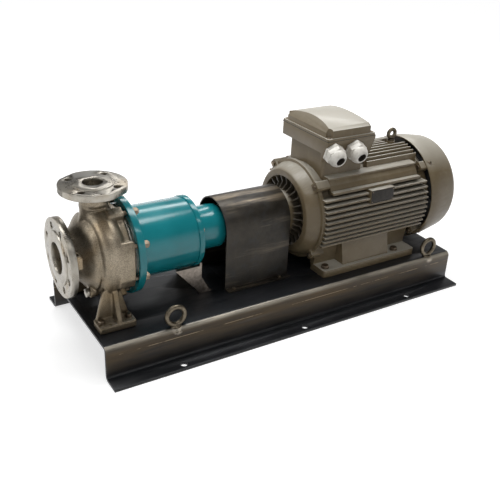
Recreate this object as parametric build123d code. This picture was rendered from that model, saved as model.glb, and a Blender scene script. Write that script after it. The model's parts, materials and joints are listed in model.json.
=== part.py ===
from build123d import *
import math
import os

# Magnetic drive pump set on a bent sheet base. Millimetres, +Z up, +X from the suction
# side to the motor. The origin is the middle of the anchor hole pattern, on the floor.

# Base
base_length = 1110
base_width = 380
base_height = 92
base_sheet = 7
base_bend_radius = 13
base_lip = 50
anchor_pitch = 366
anchor_rows = 446
anchor_hole = 18
eye_span = 840
eye_shift = 55
eye_edge_inset = 15
eye_outer_diameter = 58
eye_wire = 10
eye_weld_height = 4

# Shaft line
shaft_height = 160
pump_from_base_end = 59
pump_shaft_reach = 385
shaft_gap = 20

# Fits
fit = 0.02
running_gap = 0.08
thread_gap = 0.05
seat_gap = 0.1
bolt_clearance = 0.5

# Fastener proportions, per millimetre of thread
hex_across = 1.5
head_ratio = 0.62
nut_ratio = 0.88
washer_ratio = 0.95
washer_thickness_ratio = 0.16

# Suction and discharge flanges
suction_reach = 100
suction_bore = 80
suction_flange_diameter = 200
suction_bolt_circle = 160
suction_bolts = 8
suction_face_diameter = 138
discharge_reach = 180
discharge_bore = 50
discharge_flange_diameter = 165
discharge_bolt_circle = 125
discharge_bolts = 4
discharge_face_diameter = 102
discharge_neck_diameter = 68
discharge_flat_distance = 79
discharge_flat_angle = -60
suction_flange_thickness = 20
discharge_flange_thickness = 19
flange_raise = 3
flange_hole = 18

# Volute casing
volute_offset = 7
volute_root_radius = 66
volute_start_radius = 103
volute_growth = 24
volute_start_angle = 70
volute_sweep = 290
volute_sections = 9
throat_sections = 3
throat_height = 128
neck_flare_low = 86
neck_flare_middle = 104
neck_flare_top = 127
neck_flare_along = 44
neck_flare_across = 37
neck_flare_waist_along = 37.5
neck_flare_waist_across = 35
neck_flare_shift = 4
neck_flare_end_radius = 33.4
casing_wall = 8
dome_neck_radius = 54
dome_crest_radius = 100
dome_crest_reach = 26
dome_first_rise = 5
dome_second_rise = 15
dome_third_rise = 35
drum_radius = 94
chamber_radius = 88
chamber_shoulder_radius = 56
chamber_depth = 40
casing_depth = 53
casing_rim_radius = 107
casing_rim_width = 38
spigot_radius = 98
spigot_depth = 14
stud_circle = 226
stud_count = 8
stud_size = 12
stud_lug_length = 38
stud_lug_reach = 126.5
stud_lug_root = 92
stud_lug_width = 30
stud_lug_round = 6
side_rim_inner = 90
side_rim_outer = 122
side_rim_height = 72
stud_engagement = 24
drain_side = 50
drain_drop = 84
drain_boss_radius = 14
drain_plug_size = 14
drain_boss_reach = 42
gauge_boss_length = 14
gauge_boss_outer = 94
gauge_boss_inner = 58
gauge_boss_low = 5
gauge_boss_height = 33

# Casing feet
foot_length = 95
foot_shift = 0
foot_outer = 265
foot_pad = 50
foot_thickness = 18
foot_bolt_pitch = 70
foot_bolt_rows = 212
foot_bolt_size = 10
foot_web = 12
foot_web_top = 42
foot_web_inset = 30
foot_round = 6
foot_rib_top = 56
foot_rib_outer_inset = 32
foot_rib_inner_inset = 20
foot_web_bottom = 84

# Casing joint
gasket_thickness = 1.5
cover_radius = 104
cover_flange = 6
cover_web = 10
can_flange = 2.5
can_bore_radius = 61
can_wall = 1.5
can_bottom = 3

# Impeller and wet rotor
impeller_radius = 84.5
impeller_outlet = 12.5
impeller_back = 14
impeller_vane_setback = 0.5
impeller_shroud = 3.5
impeller_eye_radius = 44
impeller_eye_reach = 34
impeller_vanes = 6
impeller_vane_thickness = 3.5
impeller_vane_wrap = 52
impeller_hub_radius = 24
impeller_hub_end = 36
pump_shaft_radius = 12.5
pump_nut_size = 20
holder_radius = 34
holder_bore_radius = 26
holder_length = 98
holder_flange_radius = 48
holder_flange = 7
holder_screw_circle = 82
holder_screws = 4
holder_screw_size = 6
sleeve_radius = 19
bush_length = 26
bush_inset = 3
magnet_count = 12
magnet_angle = 27
magnet_length = 64
magnet_start = 86
inner_magnet_radius = 58
inner_magnet_thickness = 7
inner_rotor_bore_radius = 40
inner_rotor_disc = 14
outer_magnet_radius = 65.5
outer_magnet_thickness = 6.5
outer_rotor_wall = 8
outer_rotor_disc = 12
can_length = 122

# Lantern and bearing housing
lantern_flange_diameter = 250
lantern_flange = 18
lantern_barrel_radius = 93
lantern_barrel_wall = 7
lantern_length = 178
lantern_rim_inner_radius = 68
lantern_rim = 12
housing_flange_radius = 95
housing_flange = 14
housing_barrel_radius = 59
housing_reach = 88
housing_end_round = 14
housing_end_wall = 9
housing_bolt_circle = 160
housing_bolts = 8
housing_bolt_size = 8
drive_shaft_radius = 20
drive_shaft_shoulder = 23
drive_shaft_seat_radius = 15
drive_shaft_end_radius = 14
drive_shaft_seal_radius = 17.5
drive_bearing_radius = 40
drive_bearing_width = 18
drive_bearing_inset = 4
seal_radius = 26
seal_width = 7

# Support bracket under the bearing housing
bracket_width = 132
bracket_sheet = 6
bracket_foot = 36
bracket_cheek_reach = 70
bracket_cheek_top = 76
bracket_bolt_size = 8
bracket_bolt_rows = 100
bracket_bolt_reach = 26
bracket_gusset_height = 50
bracket_saddle_drop = 8
bracket_saddle_gap = 2

# Coupling
coupling_radius = 52
pump_hub_length = 38
motor_hub_length = 62
claw_count = 3
claw_angle = 34
claw_inner_radius = 31
claw_end_gap = 1.5
spider_ring_inner = 21
spider_gap = 0.3

# Coupling guard
guard_start = 326
guard_length = 200
guard_radius = 79
guard_sheet = 3
guard_foot = 21
guard_bolt_size = 6
guard_bolt_inset = 21
guard_bolt_pitch = 147

# Motor, measured from its shaft shoulder
motor_shaft_length = 110
motor_shaft_radius = 21
motor_foot_first = 108
motor_foot_pitch = 254
motor_foot_rows = 254
motor_foot_width = 296
motor_foot_bolt_size = 12
motor_foot_thickness = 20
motor_foot_front = 18
motor_foot_length = 336
motor_foot_block_start = 164
motor_foot_block_length = 168
motor_foot_inner = 78
motor_foot_round = 8
motor_foot_low_thickness = 18
motor_foot_high_thickness = 30
motor_foot_low_inset = 12
motor_foot_high_inset = 28
frame_start = 73
frame_length = 379
frame_radius = 132
frame_bore_radius = 119
frame_fin_radius = 155
frame_rim_radius = 142
frame_rim = 10
fin_count = 11
fin_pitch = 14.8
fin_thickness = 4.5
fin_top = 83
fin_rear_gap = 6
ridge_thickness = 7
shoulder_start = 110
shoulder_length = 312
top_fin_pitch = 12.5
top_fin_count = 13
top_fin_gap = 8
shield_lug_width = 26
shield_lug_reach = 153
shield_lug_round = 4
front_lug_length = 35
rear_lug_length = 14
shield_lug_circle = 286
shield_bolt_size = 8
shield_bolts = 4
front_bolt_engagement = 20

# Drive-end shield
shield_front = 38
shield_ring_inner = 100
shield_ring_front_radius = 120
shield_ring_rear_radius = 134
shield_round = 4
shield_hub_front = 12
shield_hub_radius = 62
shield_dish_depth = 20
shield_wall = 8
shield_ribs = 24
shield_rib_thickness = 4
shield_spigot = 7
shield_flange = 6

# Motor bearings and rotor
motor_bearing_radius = 50
motor_bearing_bore = 22.5
motor_bearing_start = 20
motor_bearing_width = 25
fan_bearing_radius = 40
fan_bearing_bore = 20
fan_bearing_width = 18
core_start = 140
core_length = 230
stator_inner_radius = 80
air_gap = 0.6
rotor_shaft_radius = 28
winding_reach = 30
winding_inner_radius = 84
winding_outer_radius = 112

# Fan end
fan_shield_wall = 14
fan_shield_hub = 52
cowl_start = 458
cowl_length = 118
cowl_radius = 157.5
cowl_straight = 34
cowl_end_radius = 142.5
cowl_sheet = 2.5
cowl_round = 30
cowl_screw_size = 6
cowl_screw_inset = 16
cowl_arm_width = 26
cowl_arm_thickness = 13
cowl_arm_root = 118
grille_rings = 5
grille_slots = 8
grille_slot_width = 9
grille_pitch = 19.5
grille_first = 34
grille_web_angle = 9
fan_start = 472
fan_hub_radius = 30
fan_hub_length = 34
fan_seat_radius = 17
fan_radius = 132
fan_blades = 8
fan_blade_thickness = 3.5
fan_disc = 4

# Terminal box
box_start = 92
box_length = 162
box_width = 214
box_floor_height = 188
box_height = 36
box_wall = 6
box_corner = 6
box_pit = 14
box_gland_depth = 26
box_gland_drop = 24
box_gland_lip = 6
box_gland_wall = 3
neck_inset = 12
neck_width = 160
neck_wall = 10
lid_gasket = 1.5
lid_flange = 6
lid_side = 22
lid_crown = 20
lid_inset = 5
lid_bevel = 18
lid_wall = 4
lid_screw_size = 6
lid_screw_inset = 10
gland_size = 32
gland_tilt = 20
gland_across = 52
gland_pitch = 72
gland_first = 24
gland_rise = 5
gland_collar = 8
gland_nut_hex = 14
gland_nut_dome = 20
gland_mouth_radius = 12
gland_mouth_rim = 5
gland_body_wall = 3
gland_tail = 7
gland_thread_step = 2
gland_thread_length = 10
gland_nut_gap = 0.5
gland_dome_bulge = 2.5
block_length = 60
block_width = 40
block_height = 20
eyebolt_from_rear = 39
eyebolt_size = 12
eyebolt_ring = 36
eyebolt_wire = 11
eyebolt_boss = 23
eyebolt_collar = 5
eyebolt_engagement = 14
plate_start = 230
plate_length = 80
plate_height = 36
plate_rise = 42
plate_thickness = 1.5
plate_pad_reach = 148

# Derived places
axis_height = base_height + shaft_height
pump_x = pump_from_base_end - base_length / 2
motor_x = pump_x + pump_shaft_reach + shaft_gap + motor_shaft_length
lantern_front = casing_depth + gasket_thickness + cover_flange + can_flange
lantern_seat = lantern_front + lantern_flange
lantern_rear = lantern_front + lantern_length
housing_rear_face = lantern_rear + housing_flange
housing_end = housing_rear_face + housing_reach
stud_radius = stud_circle / 2
cover_front = casing_depth + gasket_thickness
bolt_turn = 360 / stud_count / 2
frame_end = frame_start + frame_length
core_end = core_start + core_length


# Helpers
def ring(start, end, outer, inner=0):
    """Tube or disc about the shaft line."""
    face = Circle(outer)
    if inner:
        face = face - Circle(inner)
    return extrude(Plane.YZ.offset(start) * face, end - start)


def turned(*points):
    """Solid of revolution about the shaft line from (along, radius) points."""
    face = make_face(Polyline(*points, close=True))
    return revolve(Plane.XZ * face, Axis.X)


def block(x1, x2, y1, y2, z1, z2):
    """Box between two corners."""
    centre = Pos((x1 + x2) / 2, (y1 + y2) / 2, (z1 + z2) / 2)
    return centre * Box(x2 - x1, y2 - y1, z2 - z1)


def facing(point, direction):
    """Frame at a point whose +Z looks along the direction."""
    return Plane(origin=point, z_dir=direction).location


def polar(radius, angle):
    """(y, z) at an angle from +Y towards +Z."""
    turn = math.radians(angle)
    return radius * math.cos(turn), radius * math.sin(turn)


def bolt_angles(count, first):
    return [first + number * 360 / count for number in range(count)]


def rod(length, radius):
    """Cylinder from the origin down along -Z."""
    return Pos(0, 0, -length / 2) * Cylinder(radius, length)


def hexagon(size, height):
    return extrude(RegularPolygon(size * hex_across / 2, 6, major_radius=False), height)


def bolt(size, length, washer=True):
    """Hexagon bolt: seat at the origin, shank along -Z."""
    washer_height = size * washer_thickness_ratio if washer else 0
    body = Pos(0, 0, washer_height) * hexagon(size, size * head_ratio)
    if washer:
        body += Pos(0, 0, washer_height / 2) * Cylinder(size * washer_ratio, washer_height)
    return body + rod(length, size / 2)


def screw(size, length):
    """Round-head screw: seat at the origin, shank along -Z."""
    head = Pos(0, 0, size * head_ratio / 2) * Cylinder(size * washer_ratio, size * head_ratio)
    return head + rod(length, size / 2)


def nut(size):
    """Hexagon nut above the origin."""
    return hexagon(size, size * nut_ratio) - Cylinder(size / 2 + thread_gap, size * 4)


def along_shaft(x, radius, angle, shape, towards=1):
    """Shape whose +Z is turned to the shaft direction, at a radius and an angle."""
    y, z = polar(radius, angle)
    return facing((x, y, z), (towards, 0, 0)) * shape


def on_circle(x, radius, angles, shape, towards=1):
    return [along_shaft(x, radius, angle, shape, towards) for angle in angles]


def cut_all(body, tools):
    for tool in tools:
        body = body - tool
    return body


def at_pump(shape):
    return Pos(pump_x, 0, axis_height) * shape


def at_motor(shape):
    return Pos(motor_x, 0, axis_height) * shape


# Bolt places that several pieces share
def pump_foot_places():
    xs = [foot_shift + side * foot_bolt_pitch / 2 for side in (-1, 1)]
    return [(x, side * foot_bolt_rows / 2) for x in xs for side in (-1, 1)]


def motor_foot_places():
    xs = [motor_foot_first, motor_foot_first + motor_foot_pitch]
    return [(x, side * motor_foot_rows / 2) for x in xs for side in (-1, 1)]


def bracket_places():
    return [(housing_rear_face + bracket_bolt_reach, side * bracket_bolt_rows / 2) for side in (-1, 1)]


def guard_places():
    first = guard_start + guard_bolt_inset
    row = guard_radius + guard_foot / 2
    return [(x, side * row) for x in (first, first + guard_bolt_pitch) for side in (-1, 1)]


def shield_angles():
    return bolt_angles(shield_bolts, 360 / shield_bolts / 2)


# Base
def corners_at(face, across, height):
    """Corners of a section on both sides, at a distance from the middle and a height."""
    return [v for v in face.vertices() if abs(abs(v.X) - across) < fit and abs(v.Y - height) < fit]


def base_frame():
    half = base_width / 2
    lip = half + base_lip
    inner = half - base_sheet
    points = [
        (-lip, 0), (-inner, 0), (-inner, base_height - base_sheet), (inner, base_height - base_sheet),
        (inner, 0), (lip, 0), (lip, base_sheet), (half, base_sheet),
        (half, base_height), (-half, base_height), (-half, base_sheet), (-lip, base_sheet),
    ]
    face = make_face(Polyline(*points, close=True))
    outside = corners_at(face, inner, 0) + corners_at(face, half, base_height)
    face = fillet(outside, base_bend_radius)
    inside = corners_at(face, inner, base_height - base_sheet) + corners_at(face, half, base_sheet)
    face = fillet(inside, base_bend_radius - base_sheet)
    body = extrude(Plane.YZ.offset(-base_length / 2) * face, base_length)
    for x in (-anchor_pitch, 0, anchor_pitch):
        for side in (-1, 1):
            body -= Pos(x, side * anchor_rows / 2, 0) * Cylinder(anchor_hole / 2, base_sheet * 3)
    drilled = [(pump_x + x, y, foot_bolt_size) for x, y in pump_foot_places()]
    drilled += [(motor_x + x, y, motor_foot_bolt_size) for x, y in motor_foot_places()]
    drilled += [(pump_x + x, y, bracket_bolt_size) for x, y in bracket_places()]
    drilled += [(pump_x + x, y, guard_bolt_size) for x, y in guard_places()]
    for x, y, size in drilled:
        body -= Pos(x, y, base_height) * Cylinder(size / 2 + bolt_clearance, base_sheet * 3)
    return body


def lifting_eye():
    """Welded ring that stands in the plane of the shaft line."""
    middle = eye_outer_diameter / 2 - eye_wire / 2
    loop = Rot(X=90) * Torus(middle, eye_wire / 2)
    weld = Pos(0, 0, eye_weld_height / 2 - eye_outer_diameter / 2)
    weld = weld * Cone(eye_wire * 1.2, eye_wire * 0.8, eye_weld_height)
    return Pos(0, 0, eye_outer_diameter / 2) * (loop + weld)


def lifting_eyes():
    row = base_width / 2 - eye_edge_inset
    places = [(x, side * row) for x in (-eye_span / 2, eye_span / 2) for side in (-1, 1)]
    return Compound([Pos(x + eye_shift, y, base_height) * lifting_eye() for x, y in places])


def base_nuts():
    under = base_height - base_sheet
    sizes = [(pump_x + x, y, foot_bolt_size) for x, y in pump_foot_places()]
    sizes += [(motor_x + x, y, motor_foot_bolt_size) for x, y in motor_foot_places()]
    sizes += [(pump_x + x, y, bracket_bolt_size) for x, y in bracket_places()]
    sizes += [(pump_x + x, y, guard_bolt_size) for x, y in guard_places()]
    return Compound([facing((x, y, under), (0, 0, -1)) * nut(size) for x, y, size in sizes])


# Volute casing
def volute_plane(share):
    """Section plane of the spiral at a share of its sweep, with the section radius."""
    angle = volute_start_angle - share * volute_sweep
    outer = volute_start_radius + volute_growth * share
    radius = (outer - volute_root_radius) / 2
    y, z = polar(volute_root_radius + radius, angle)
    turn = math.radians(angle)
    flow = (0, math.sin(turn), -math.cos(turn))
    return Plane(origin=(volute_offset, y, z), x_dir=(1, 0, 0), z_dir=flow), radius


def volute_body(wall):
    """Spiral and throat as one loft, thinner all round by the wall."""
    sections = []
    for number in range(volute_sections + 1):
        plane, radius = volute_plane(number / volute_sections)
        sections.append(plane * Circle(radius - wall))
    last, last_radius = volute_plane(1)
    path = Spline(last.origin, (0, 0, throat_height), tangents=[last.z_dir, (0, 0, 1)])
    for number in range(1, throat_sections + 1):
        share = number / throat_sections
        radius = last_radius + (discharge_neck_diameter / 2 - last_radius) * share
        plane = Plane(origin=path @ share, x_dir=(1, 0, 0), z_dir=path % share)
        sections.append(plane * Circle(radius - wall))
    return loft(sections)


def casing_shell():
    """Suction dome and drum, turned about the shaft line."""
    back = -suction_reach + suction_flange_thickness
    crest = -dome_crest_reach
    step = (crest - back) / 4
    dome = Spline(
        (back, dome_neck_radius),
        (back + step, dome_neck_radius + dome_first_rise),
        (back + step * 2, dome_neck_radius + dome_second_rise),
        (back + step * 3.2, dome_neck_radius + dome_third_rise),
        (crest, dome_crest_radius),
    )
    crease = volute_offset - volute_root_radius * 0.42
    rim_front = casing_depth - casing_rim_width
    rest = Polyline(
        (crest, dome_crest_radius), (crease, drum_radius), (rim_front - 8, drum_radius),
        (rim_front, casing_rim_radius), (casing_depth, casing_rim_radius), (casing_depth, 0),
        (back, 0), (back, dome_neck_radius),
    )
    face = make_face(Curve() + dome + rest)
    return revolve(Plane.XZ * face, Axis.X)


def casing_foot(side):
    """Pad, cross web and front rib under one side of the casing."""
    outer = foot_outer / 2
    floor = -shaft_height
    top = floor + foot_thickness
    x1 = foot_shift - foot_length / 2
    pad = block(x1, x1 + foot_length, outer - foot_pad, outer, floor, top)
    pad = fillet(pad.edges().filter_by(Axis.Z), foot_round)
    web_face = make_face(Polyline(
        (foot_shift - foot_web_bottom / 2, top), (foot_shift + foot_web_bottom / 2, top),
        (foot_shift + foot_web_top / 2, -drum_radius + foot_web_inset),
        (foot_shift - foot_web_top / 2, -drum_radius + foot_web_inset),
        close=True,
    ))
    inner = outer - foot_pad
    web = extrude(Plane.XZ.offset(-inner) * web_face, -foot_web)
    rib_face = make_face(Polyline(
        (inner, top), (outer - 4, top), (outer - foot_rib_outer_inset, -foot_rib_top),
        (inner - foot_rib_inner_inset, -foot_rib_top), close=True,
    ))
    rib = extrude(Plane.YZ.offset(foot_shift) * rib_face, foot_web)
    foot = pad + web + rib
    return foot if side > 0 else mirror(foot, Plane.XZ)


def neck_flare():
    """Widening of the discharge neck where it leaves the spiral."""
    root = Ellipse(neck_flare_along, neck_flare_across)
    low = Plane.XY.offset(neck_flare_low) * Pos(neck_flare_shift, 0) * root
    waist = Ellipse(neck_flare_waist_along, neck_flare_waist_across)
    middle = Plane.XY.offset(neck_flare_middle) * Pos(neck_flare_shift / 2, 0) * waist
    top = Plane.XY.offset(neck_flare_top) * Circle(neck_flare_end_radius)
    return loft([low, middle, top])


def stud_bosses():
    """Lugs round the studs, joined in pairs at the two sides."""
    start = casing_depth - stud_lug_length
    lug = block(start, casing_depth, stud_lug_root, stud_lug_reach, -stud_lug_width / 2, stud_lug_width / 2)
    lug = fillet(lug.edges().filter_by(Axis.X), stud_lug_round)
    bosses = [Rot(X=angle) * lug for angle in bolt_angles(stud_count, bolt_turn)]
    for side in (-1, 1):
        low, high = sorted((side * side_rim_inner, side * side_rim_outer))
        bosses.append(block(start, casing_depth, low, high, -side_rim_height / 2, side_rim_height / 2))
    return bosses


def volute_casing():
    flange_back = -suction_reach + suction_flange_thickness
    body = casing_shell() + volute_body(0) + neck_flare()
    for boss in stud_bosses():
        body += boss
    for side in (-1, 1):
        body += casing_foot(side)
    body += ring(-suction_reach + flange_raise, flange_back, suction_flange_diameter / 2)
    body += ring(-suction_reach, -suction_reach + flange_raise, suction_face_diameter / 2)
    body += block(flange_back, flange_back + gauge_boss_length, -gauge_boss_outer, -gauge_boss_inner,
                  gauge_boss_low, gauge_boss_low + gauge_boss_height)
    neck_length = discharge_reach - discharge_flange_thickness - throat_height
    body += Pos(0, 0, throat_height + neck_length / 2) * Cylinder(discharge_neck_diameter / 2, neck_length)
    plate = Circle(discharge_flange_diameter / 2)
    for turn in (0, 180):
        strip = Pos(discharge_flat_distance + 50, 0) * Rectangle(100, discharge_flange_diameter)
        plate = plate - Rot(Z=discharge_flat_angle + turn) * strip
    plate_height = discharge_flange_thickness - flange_raise
    body += extrude(Plane.XY.offset(discharge_reach - discharge_flange_thickness) * plate, plate_height)
    raised = Cylinder(discharge_face_diameter / 2, flange_raise)
    body += Pos(0, 0, discharge_reach - flange_raise / 2) * raised
    boss_back = -dome_crest_reach + 4
    drain_boss = along_shaft(boss_back, 0, 0, rod(drain_boss_reach + boss_back, drain_boss_radius))
    body += Pos(0, -drain_side, -drain_drop) * drain_boss
    return casing_cuts(body)


def casing_cuts(body):
    """Bores, chamber, spiral passage and threaded holes of the casing."""
    body -= volute_body(casing_wall)
    body -= ring(-suction_reach - 1, -impeller_eye_reach, suction_bore / 2)
    eye_bore = impeller_eye_radius + running_gap * 4
    body -= ring(-impeller_eye_reach - 2, 0, eye_bore)
    body -= turned((-20, 0), (-20, eye_bore), (-14, chamber_shoulder_radius), (-7, chamber_radius),
                   (chamber_depth, chamber_radius), (chamber_depth, 0))
    body -= ring(casing_depth - spigot_depth, casing_depth + 1, spigot_radius)
    tall = discharge_reach - throat_height + 2
    body -= Pos(0, 0, throat_height + tall / 2 - 1) * Cylinder(discharge_bore / 2, tall)
    hole = Cylinder(flange_hole / 2, suction_flange_thickness * 3)
    for angle in bolt_angles(suction_bolts, 360 / suction_bolts / 2):
        body -= along_shaft(-suction_reach, suction_bolt_circle / 2, angle, hole)
    for angle in bolt_angles(discharge_bolts, 360 / discharge_bolts / 2):
        x, y = polar(discharge_bolt_circle / 2, angle)
        body -= Pos(x, y, discharge_reach) * hole
    tapped = rod(stud_engagement + 2, stud_size / 2 + thread_gap)
    for hole in on_circle(casing_depth, stud_radius, bolt_angles(stud_count, bolt_turn), tapped):
        body -= hole
    drill = Pos(-drain_boss_reach, -drain_side, -drain_drop) * Rot(Y=90)
    body -= drill * Pos(0, 0, 6) * Cylinder(drain_plug_size / 2 + thread_gap, 14)
    body -= drill * Pos(0, 0, 20) * Cylinder(drain_plug_size / 4, 30)
    for x, y in pump_foot_places():
        body -= Pos(x, y, -shaft_height) * Cylinder(foot_bolt_size / 2 + bolt_clearance, foot_thickness * 3)
    return body


def drain_plug():
    plug = hexagon(drain_plug_size, drain_plug_size * head_ratio) + rod(11, drain_plug_size / 2)
    return facing((-drain_boss_reach, -drain_side, -drain_drop), (-1, 0, 0)) * plug


def casing_gasket():
    return ring(casing_depth, cover_front, cover_radius, spigot_radius)


def casing_cover():
    """Closes the casing at the back and carries the bearing holder."""
    front = cover_front - spigot_depth
    web_back = front + cover_web
    bore = holder_radius + fit
    flange_back = cover_front + cover_flange
    body = turned(
        (front, bore), (front, spigot_radius - running_gap), (cover_front, spigot_radius - running_gap),
        (cover_front, cover_radius), (flange_back, cover_radius), (flange_back, can_bore_radius),
        (web_back + 2, can_bore_radius - 2), (web_back, can_bore_radius - 6), (web_back, bore),
    )
    hole = rod(holder_screw_size * 1.5, holder_screw_size / 2 + thread_gap)
    return cut_all(body, on_circle(web_back, holder_screw_circle / 2, holder_angles(), hole))


def holder_angles():
    return bolt_angles(holder_screws, 360 / holder_screws / 2)


def bearing_holder():
    """Tube with a screwed flange that holds the two plain bearing bushes."""
    front = cover_front - spigot_depth
    seat = front + cover_web
    end = front + holder_length
    body = ring(front, end, holder_radius, holder_bore_radius)
    body += ring(seat, seat + holder_flange, holder_flange_radius, holder_bore_radius)
    hole = rod(holder_flange * 3, holder_screw_size / 2 + bolt_clearance)
    holes = on_circle(seat + holder_flange * 2, holder_screw_circle / 2, holder_angles(), hole)
    return cut_all(body, holes)


def bearing_holder_screws():
    seat = cover_front - spigot_depth + cover_web + holder_flange
    one = bolt(holder_screw_size, holder_flange + holder_screw_size, washer=False)
    return Compound(on_circle(seat, holder_screw_circle / 2, holder_angles(), one))


def bush_starts():
    front = cover_front - spigot_depth
    return front + bush_inset, front + holder_length - bush_inset - bush_length


def bearing_bushes():
    outer = holder_bore_radius - fit
    inner = sleeve_radius + running_gap
    return Compound([ring(start, start + bush_length, outer, inner) for start in bush_starts()])


def shaft_sleeve():
    return ring(impeller_hub_end, rotor_disc_front(), sleeve_radius, pump_shaft_radius + fit)


def rotor_disc_front():
    return cover_front - spigot_depth + holder_length + 4


def pump_shaft():
    end = rotor_disc_front() + inner_rotor_disc
    nut_height = pump_nut_size * nut_ratio
    body = ring(-volute_offset * 2, end, pump_shaft_radius)
    body += ring(-volute_offset * 2 - nut_height, end + nut_height * 0.6, pump_nut_size / 2)
    return body


def pump_shaft_nuts():
    end = rotor_disc_front() + inner_rotor_disc
    front = along_shaft(-volute_offset * 2, 0, 0, nut(pump_nut_size), -1)
    thin = hexagon(pump_nut_size, pump_nut_size * nut_ratio * 0.5)
    thin -= Cylinder(pump_nut_size / 2 + thread_gap, pump_nut_size)
    return Compound([front, along_shaft(end, 0, 0, thin)])


def impeller():
    """Closed impeller with backward curved vanes."""
    bore = pump_shaft_radius + fit
    eye = impeller_eye_radius
    wall = impeller_shroud
    back = impeller_back
    front_out = back - impeller_outlet
    vane_tip = impeller_radius - impeller_vane_setback
    front = turned(
        (-impeller_eye_reach, eye - wall), (-impeller_eye_reach, eye), (-20, eye), (-13, eye + 8),
        (front_out - wall, impeller_radius), (front_out, impeller_radius), (-9, eye + 9),
        (-17, eye - wall),
    )
    rear = turned(
        (-volute_offset * 2, bore), (-volute_offset * 2, bore + 4), (2, bore + 12), (back - 2, 56),
        (back, impeller_radius), (back + wall, impeller_radius), (back + wall, impeller_hub_radius),
        (impeller_hub_end, impeller_hub_radius), (impeller_hub_end, bore),
    )
    passage = turned(
        (-19, eye - 4), (-11, eye + 8.5), (front_out - 1, vane_tip), (back + 1, vane_tip),
        (back, 56), (3, bore + 11), (-10, bore + 12), (-16, eye - 12),
    )
    start = polar(eye - 6, 0)
    middle = polar((eye + impeller_radius) / 2, impeller_vane_wrap * 0.45)
    finish = polar(impeller_radius + 1, impeller_vane_wrap)
    strip = trace(ThreePointArc(start, middle, finish), impeller_vane_thickness)
    blade = extrude(Plane.YZ.offset(-25) * strip, 45) & passage
    body = front + rear
    for angle in bolt_angles(impeller_vanes, 0):
        body += Rot(X=angle) * blade
    return body


def magnet_ring(start, outer, thickness):
    """Bar magnets in a ring."""
    x2 = start + magnet_length
    inner = outer - thickness
    outline = Polyline((start, inner), (x2, inner), (x2, outer), (start, outer), close=True)
    bar = revolve(Plane.XZ * make_face(outline), Axis.X, magnet_angle)
    return Compound([Rot(X=angle) * bar for angle in bolt_angles(magnet_count, 0)])


def inner_magnets():
    return magnet_ring(magnet_start, inner_magnet_radius, inner_magnet_thickness)


def outer_magnets():
    return magnet_ring(magnet_start, outer_magnet_radius + outer_magnet_thickness, outer_magnet_thickness)


def inner_magnet_rotor():
    """Cup on the pump shaft that carries the inner magnets over the bearing holder."""
    disc = rotor_disc_front()
    end = disc + inner_rotor_disc
    seat = inner_magnet_radius - inner_magnet_thickness - fit
    lip = inner_magnet_radius + 1
    body = turned(
        (disc, pump_shaft_radius + fit), (end, pump_shaft_radius + fit), (end, lip),
        (magnet_start + magnet_length + fit, lip), (magnet_start + magnet_length + fit, seat),
        (magnet_start - fit, seat), (magnet_start - fit, lip), (magnet_start - 6, lip),
        (magnet_start - 6, inner_rotor_bore_radius), (disc, inner_rotor_bore_radius),
    )
    return body


def containment_shell():
    """Thin closed can between the two magnet rings."""
    front = lantern_front - can_flange
    outer = can_bore_radius + can_wall
    end = lantern_front + can_length
    return turned(
        (front, can_bore_radius), (front, cover_radius), (lantern_front, cover_radius),
        (lantern_front, outer),
        (end - 10, outer), (end, outer - 10), (end, 0), (end - can_bottom, 0),
        (end - can_bottom, can_bore_radius - 9), (end - 11, can_bore_radius),
    )


def casing_studs():
    length = stud_engagement + (lantern_seat - casing_depth) + stud_size * nut_ratio + 3
    start = casing_depth - stud_engagement
    one = Pos(0, 0, length / 2) * Cylinder(stud_size / 2, length)
    return Compound(on_circle(start, stud_radius, bolt_angles(stud_count, bolt_turn), one))


def casing_nuts():
    angles = bolt_angles(stud_count, bolt_turn)
    return Compound(on_circle(lantern_seat, stud_radius, angles, nut(stud_size)))


# Lantern and bearing housing
def housing_angles():
    return bolt_angles(housing_bolts, 360 / housing_bolts / 2)


def lantern():
    outer = lantern_barrel_radius
    inner = outer - lantern_barrel_wall
    body = ring(lantern_front, lantern_seat, lantern_flange_diameter / 2, inner)
    body = fillet(body.edges().filter_by(GeomType.CIRCLE).group_by(SortBy.RADIUS)[-1], 2)
    body += ring(lantern_seat, lantern_rear, outer, inner)
    body += ring(lantern_rear - lantern_rim, lantern_rear, outer, lantern_rim_inner_radius)
    hole = Cylinder(stud_size / 2 + bolt_clearance, lantern_flange * 3)
    body = cut_all(body, on_circle(lantern_front, stud_radius, bolt_angles(stud_count, bolt_turn), hole))
    tapped = rod(lantern_rim + 1, housing_bolt_size / 2 + thread_gap)
    return cut_all(body, on_circle(lantern_rear, housing_bolt_circle / 2, housing_angles(), tapped))


def outer_rotor_radius():
    return outer_magnet_radius + outer_magnet_thickness


def outer_rotor_disc_front():
    return lantern_front + can_length + 6


def outer_magnet_rotor():
    """Cup on the drive shaft that carries the outer magnets round the can."""
    front = magnet_start - 8
    seat = outer_rotor_radius() + fit
    outer = seat + outer_rotor_wall
    disc = outer_rotor_disc_front()
    end = disc + outer_rotor_disc
    lip = outer_magnet_radius
    bore = drive_shaft_seat_radius + fit
    hub = bore + 12
    return turned(
        (front, seat - 3), (front, outer), (end, outer), (end, hub), (end + 10, hub), (end + 10, bore),
        (disc, bore), (disc, lip + 2), (magnet_start + magnet_length + fit, lip + 2),
        (magnet_start + magnet_length + fit, seat), (magnet_start - fit, seat),
        (magnet_start - fit, seat - 3),
    )


def bearing_starts():
    first = lantern_rear + drive_bearing_inset
    second = housing_end - housing_end_wall - drive_bearing_width
    return first, second


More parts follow.
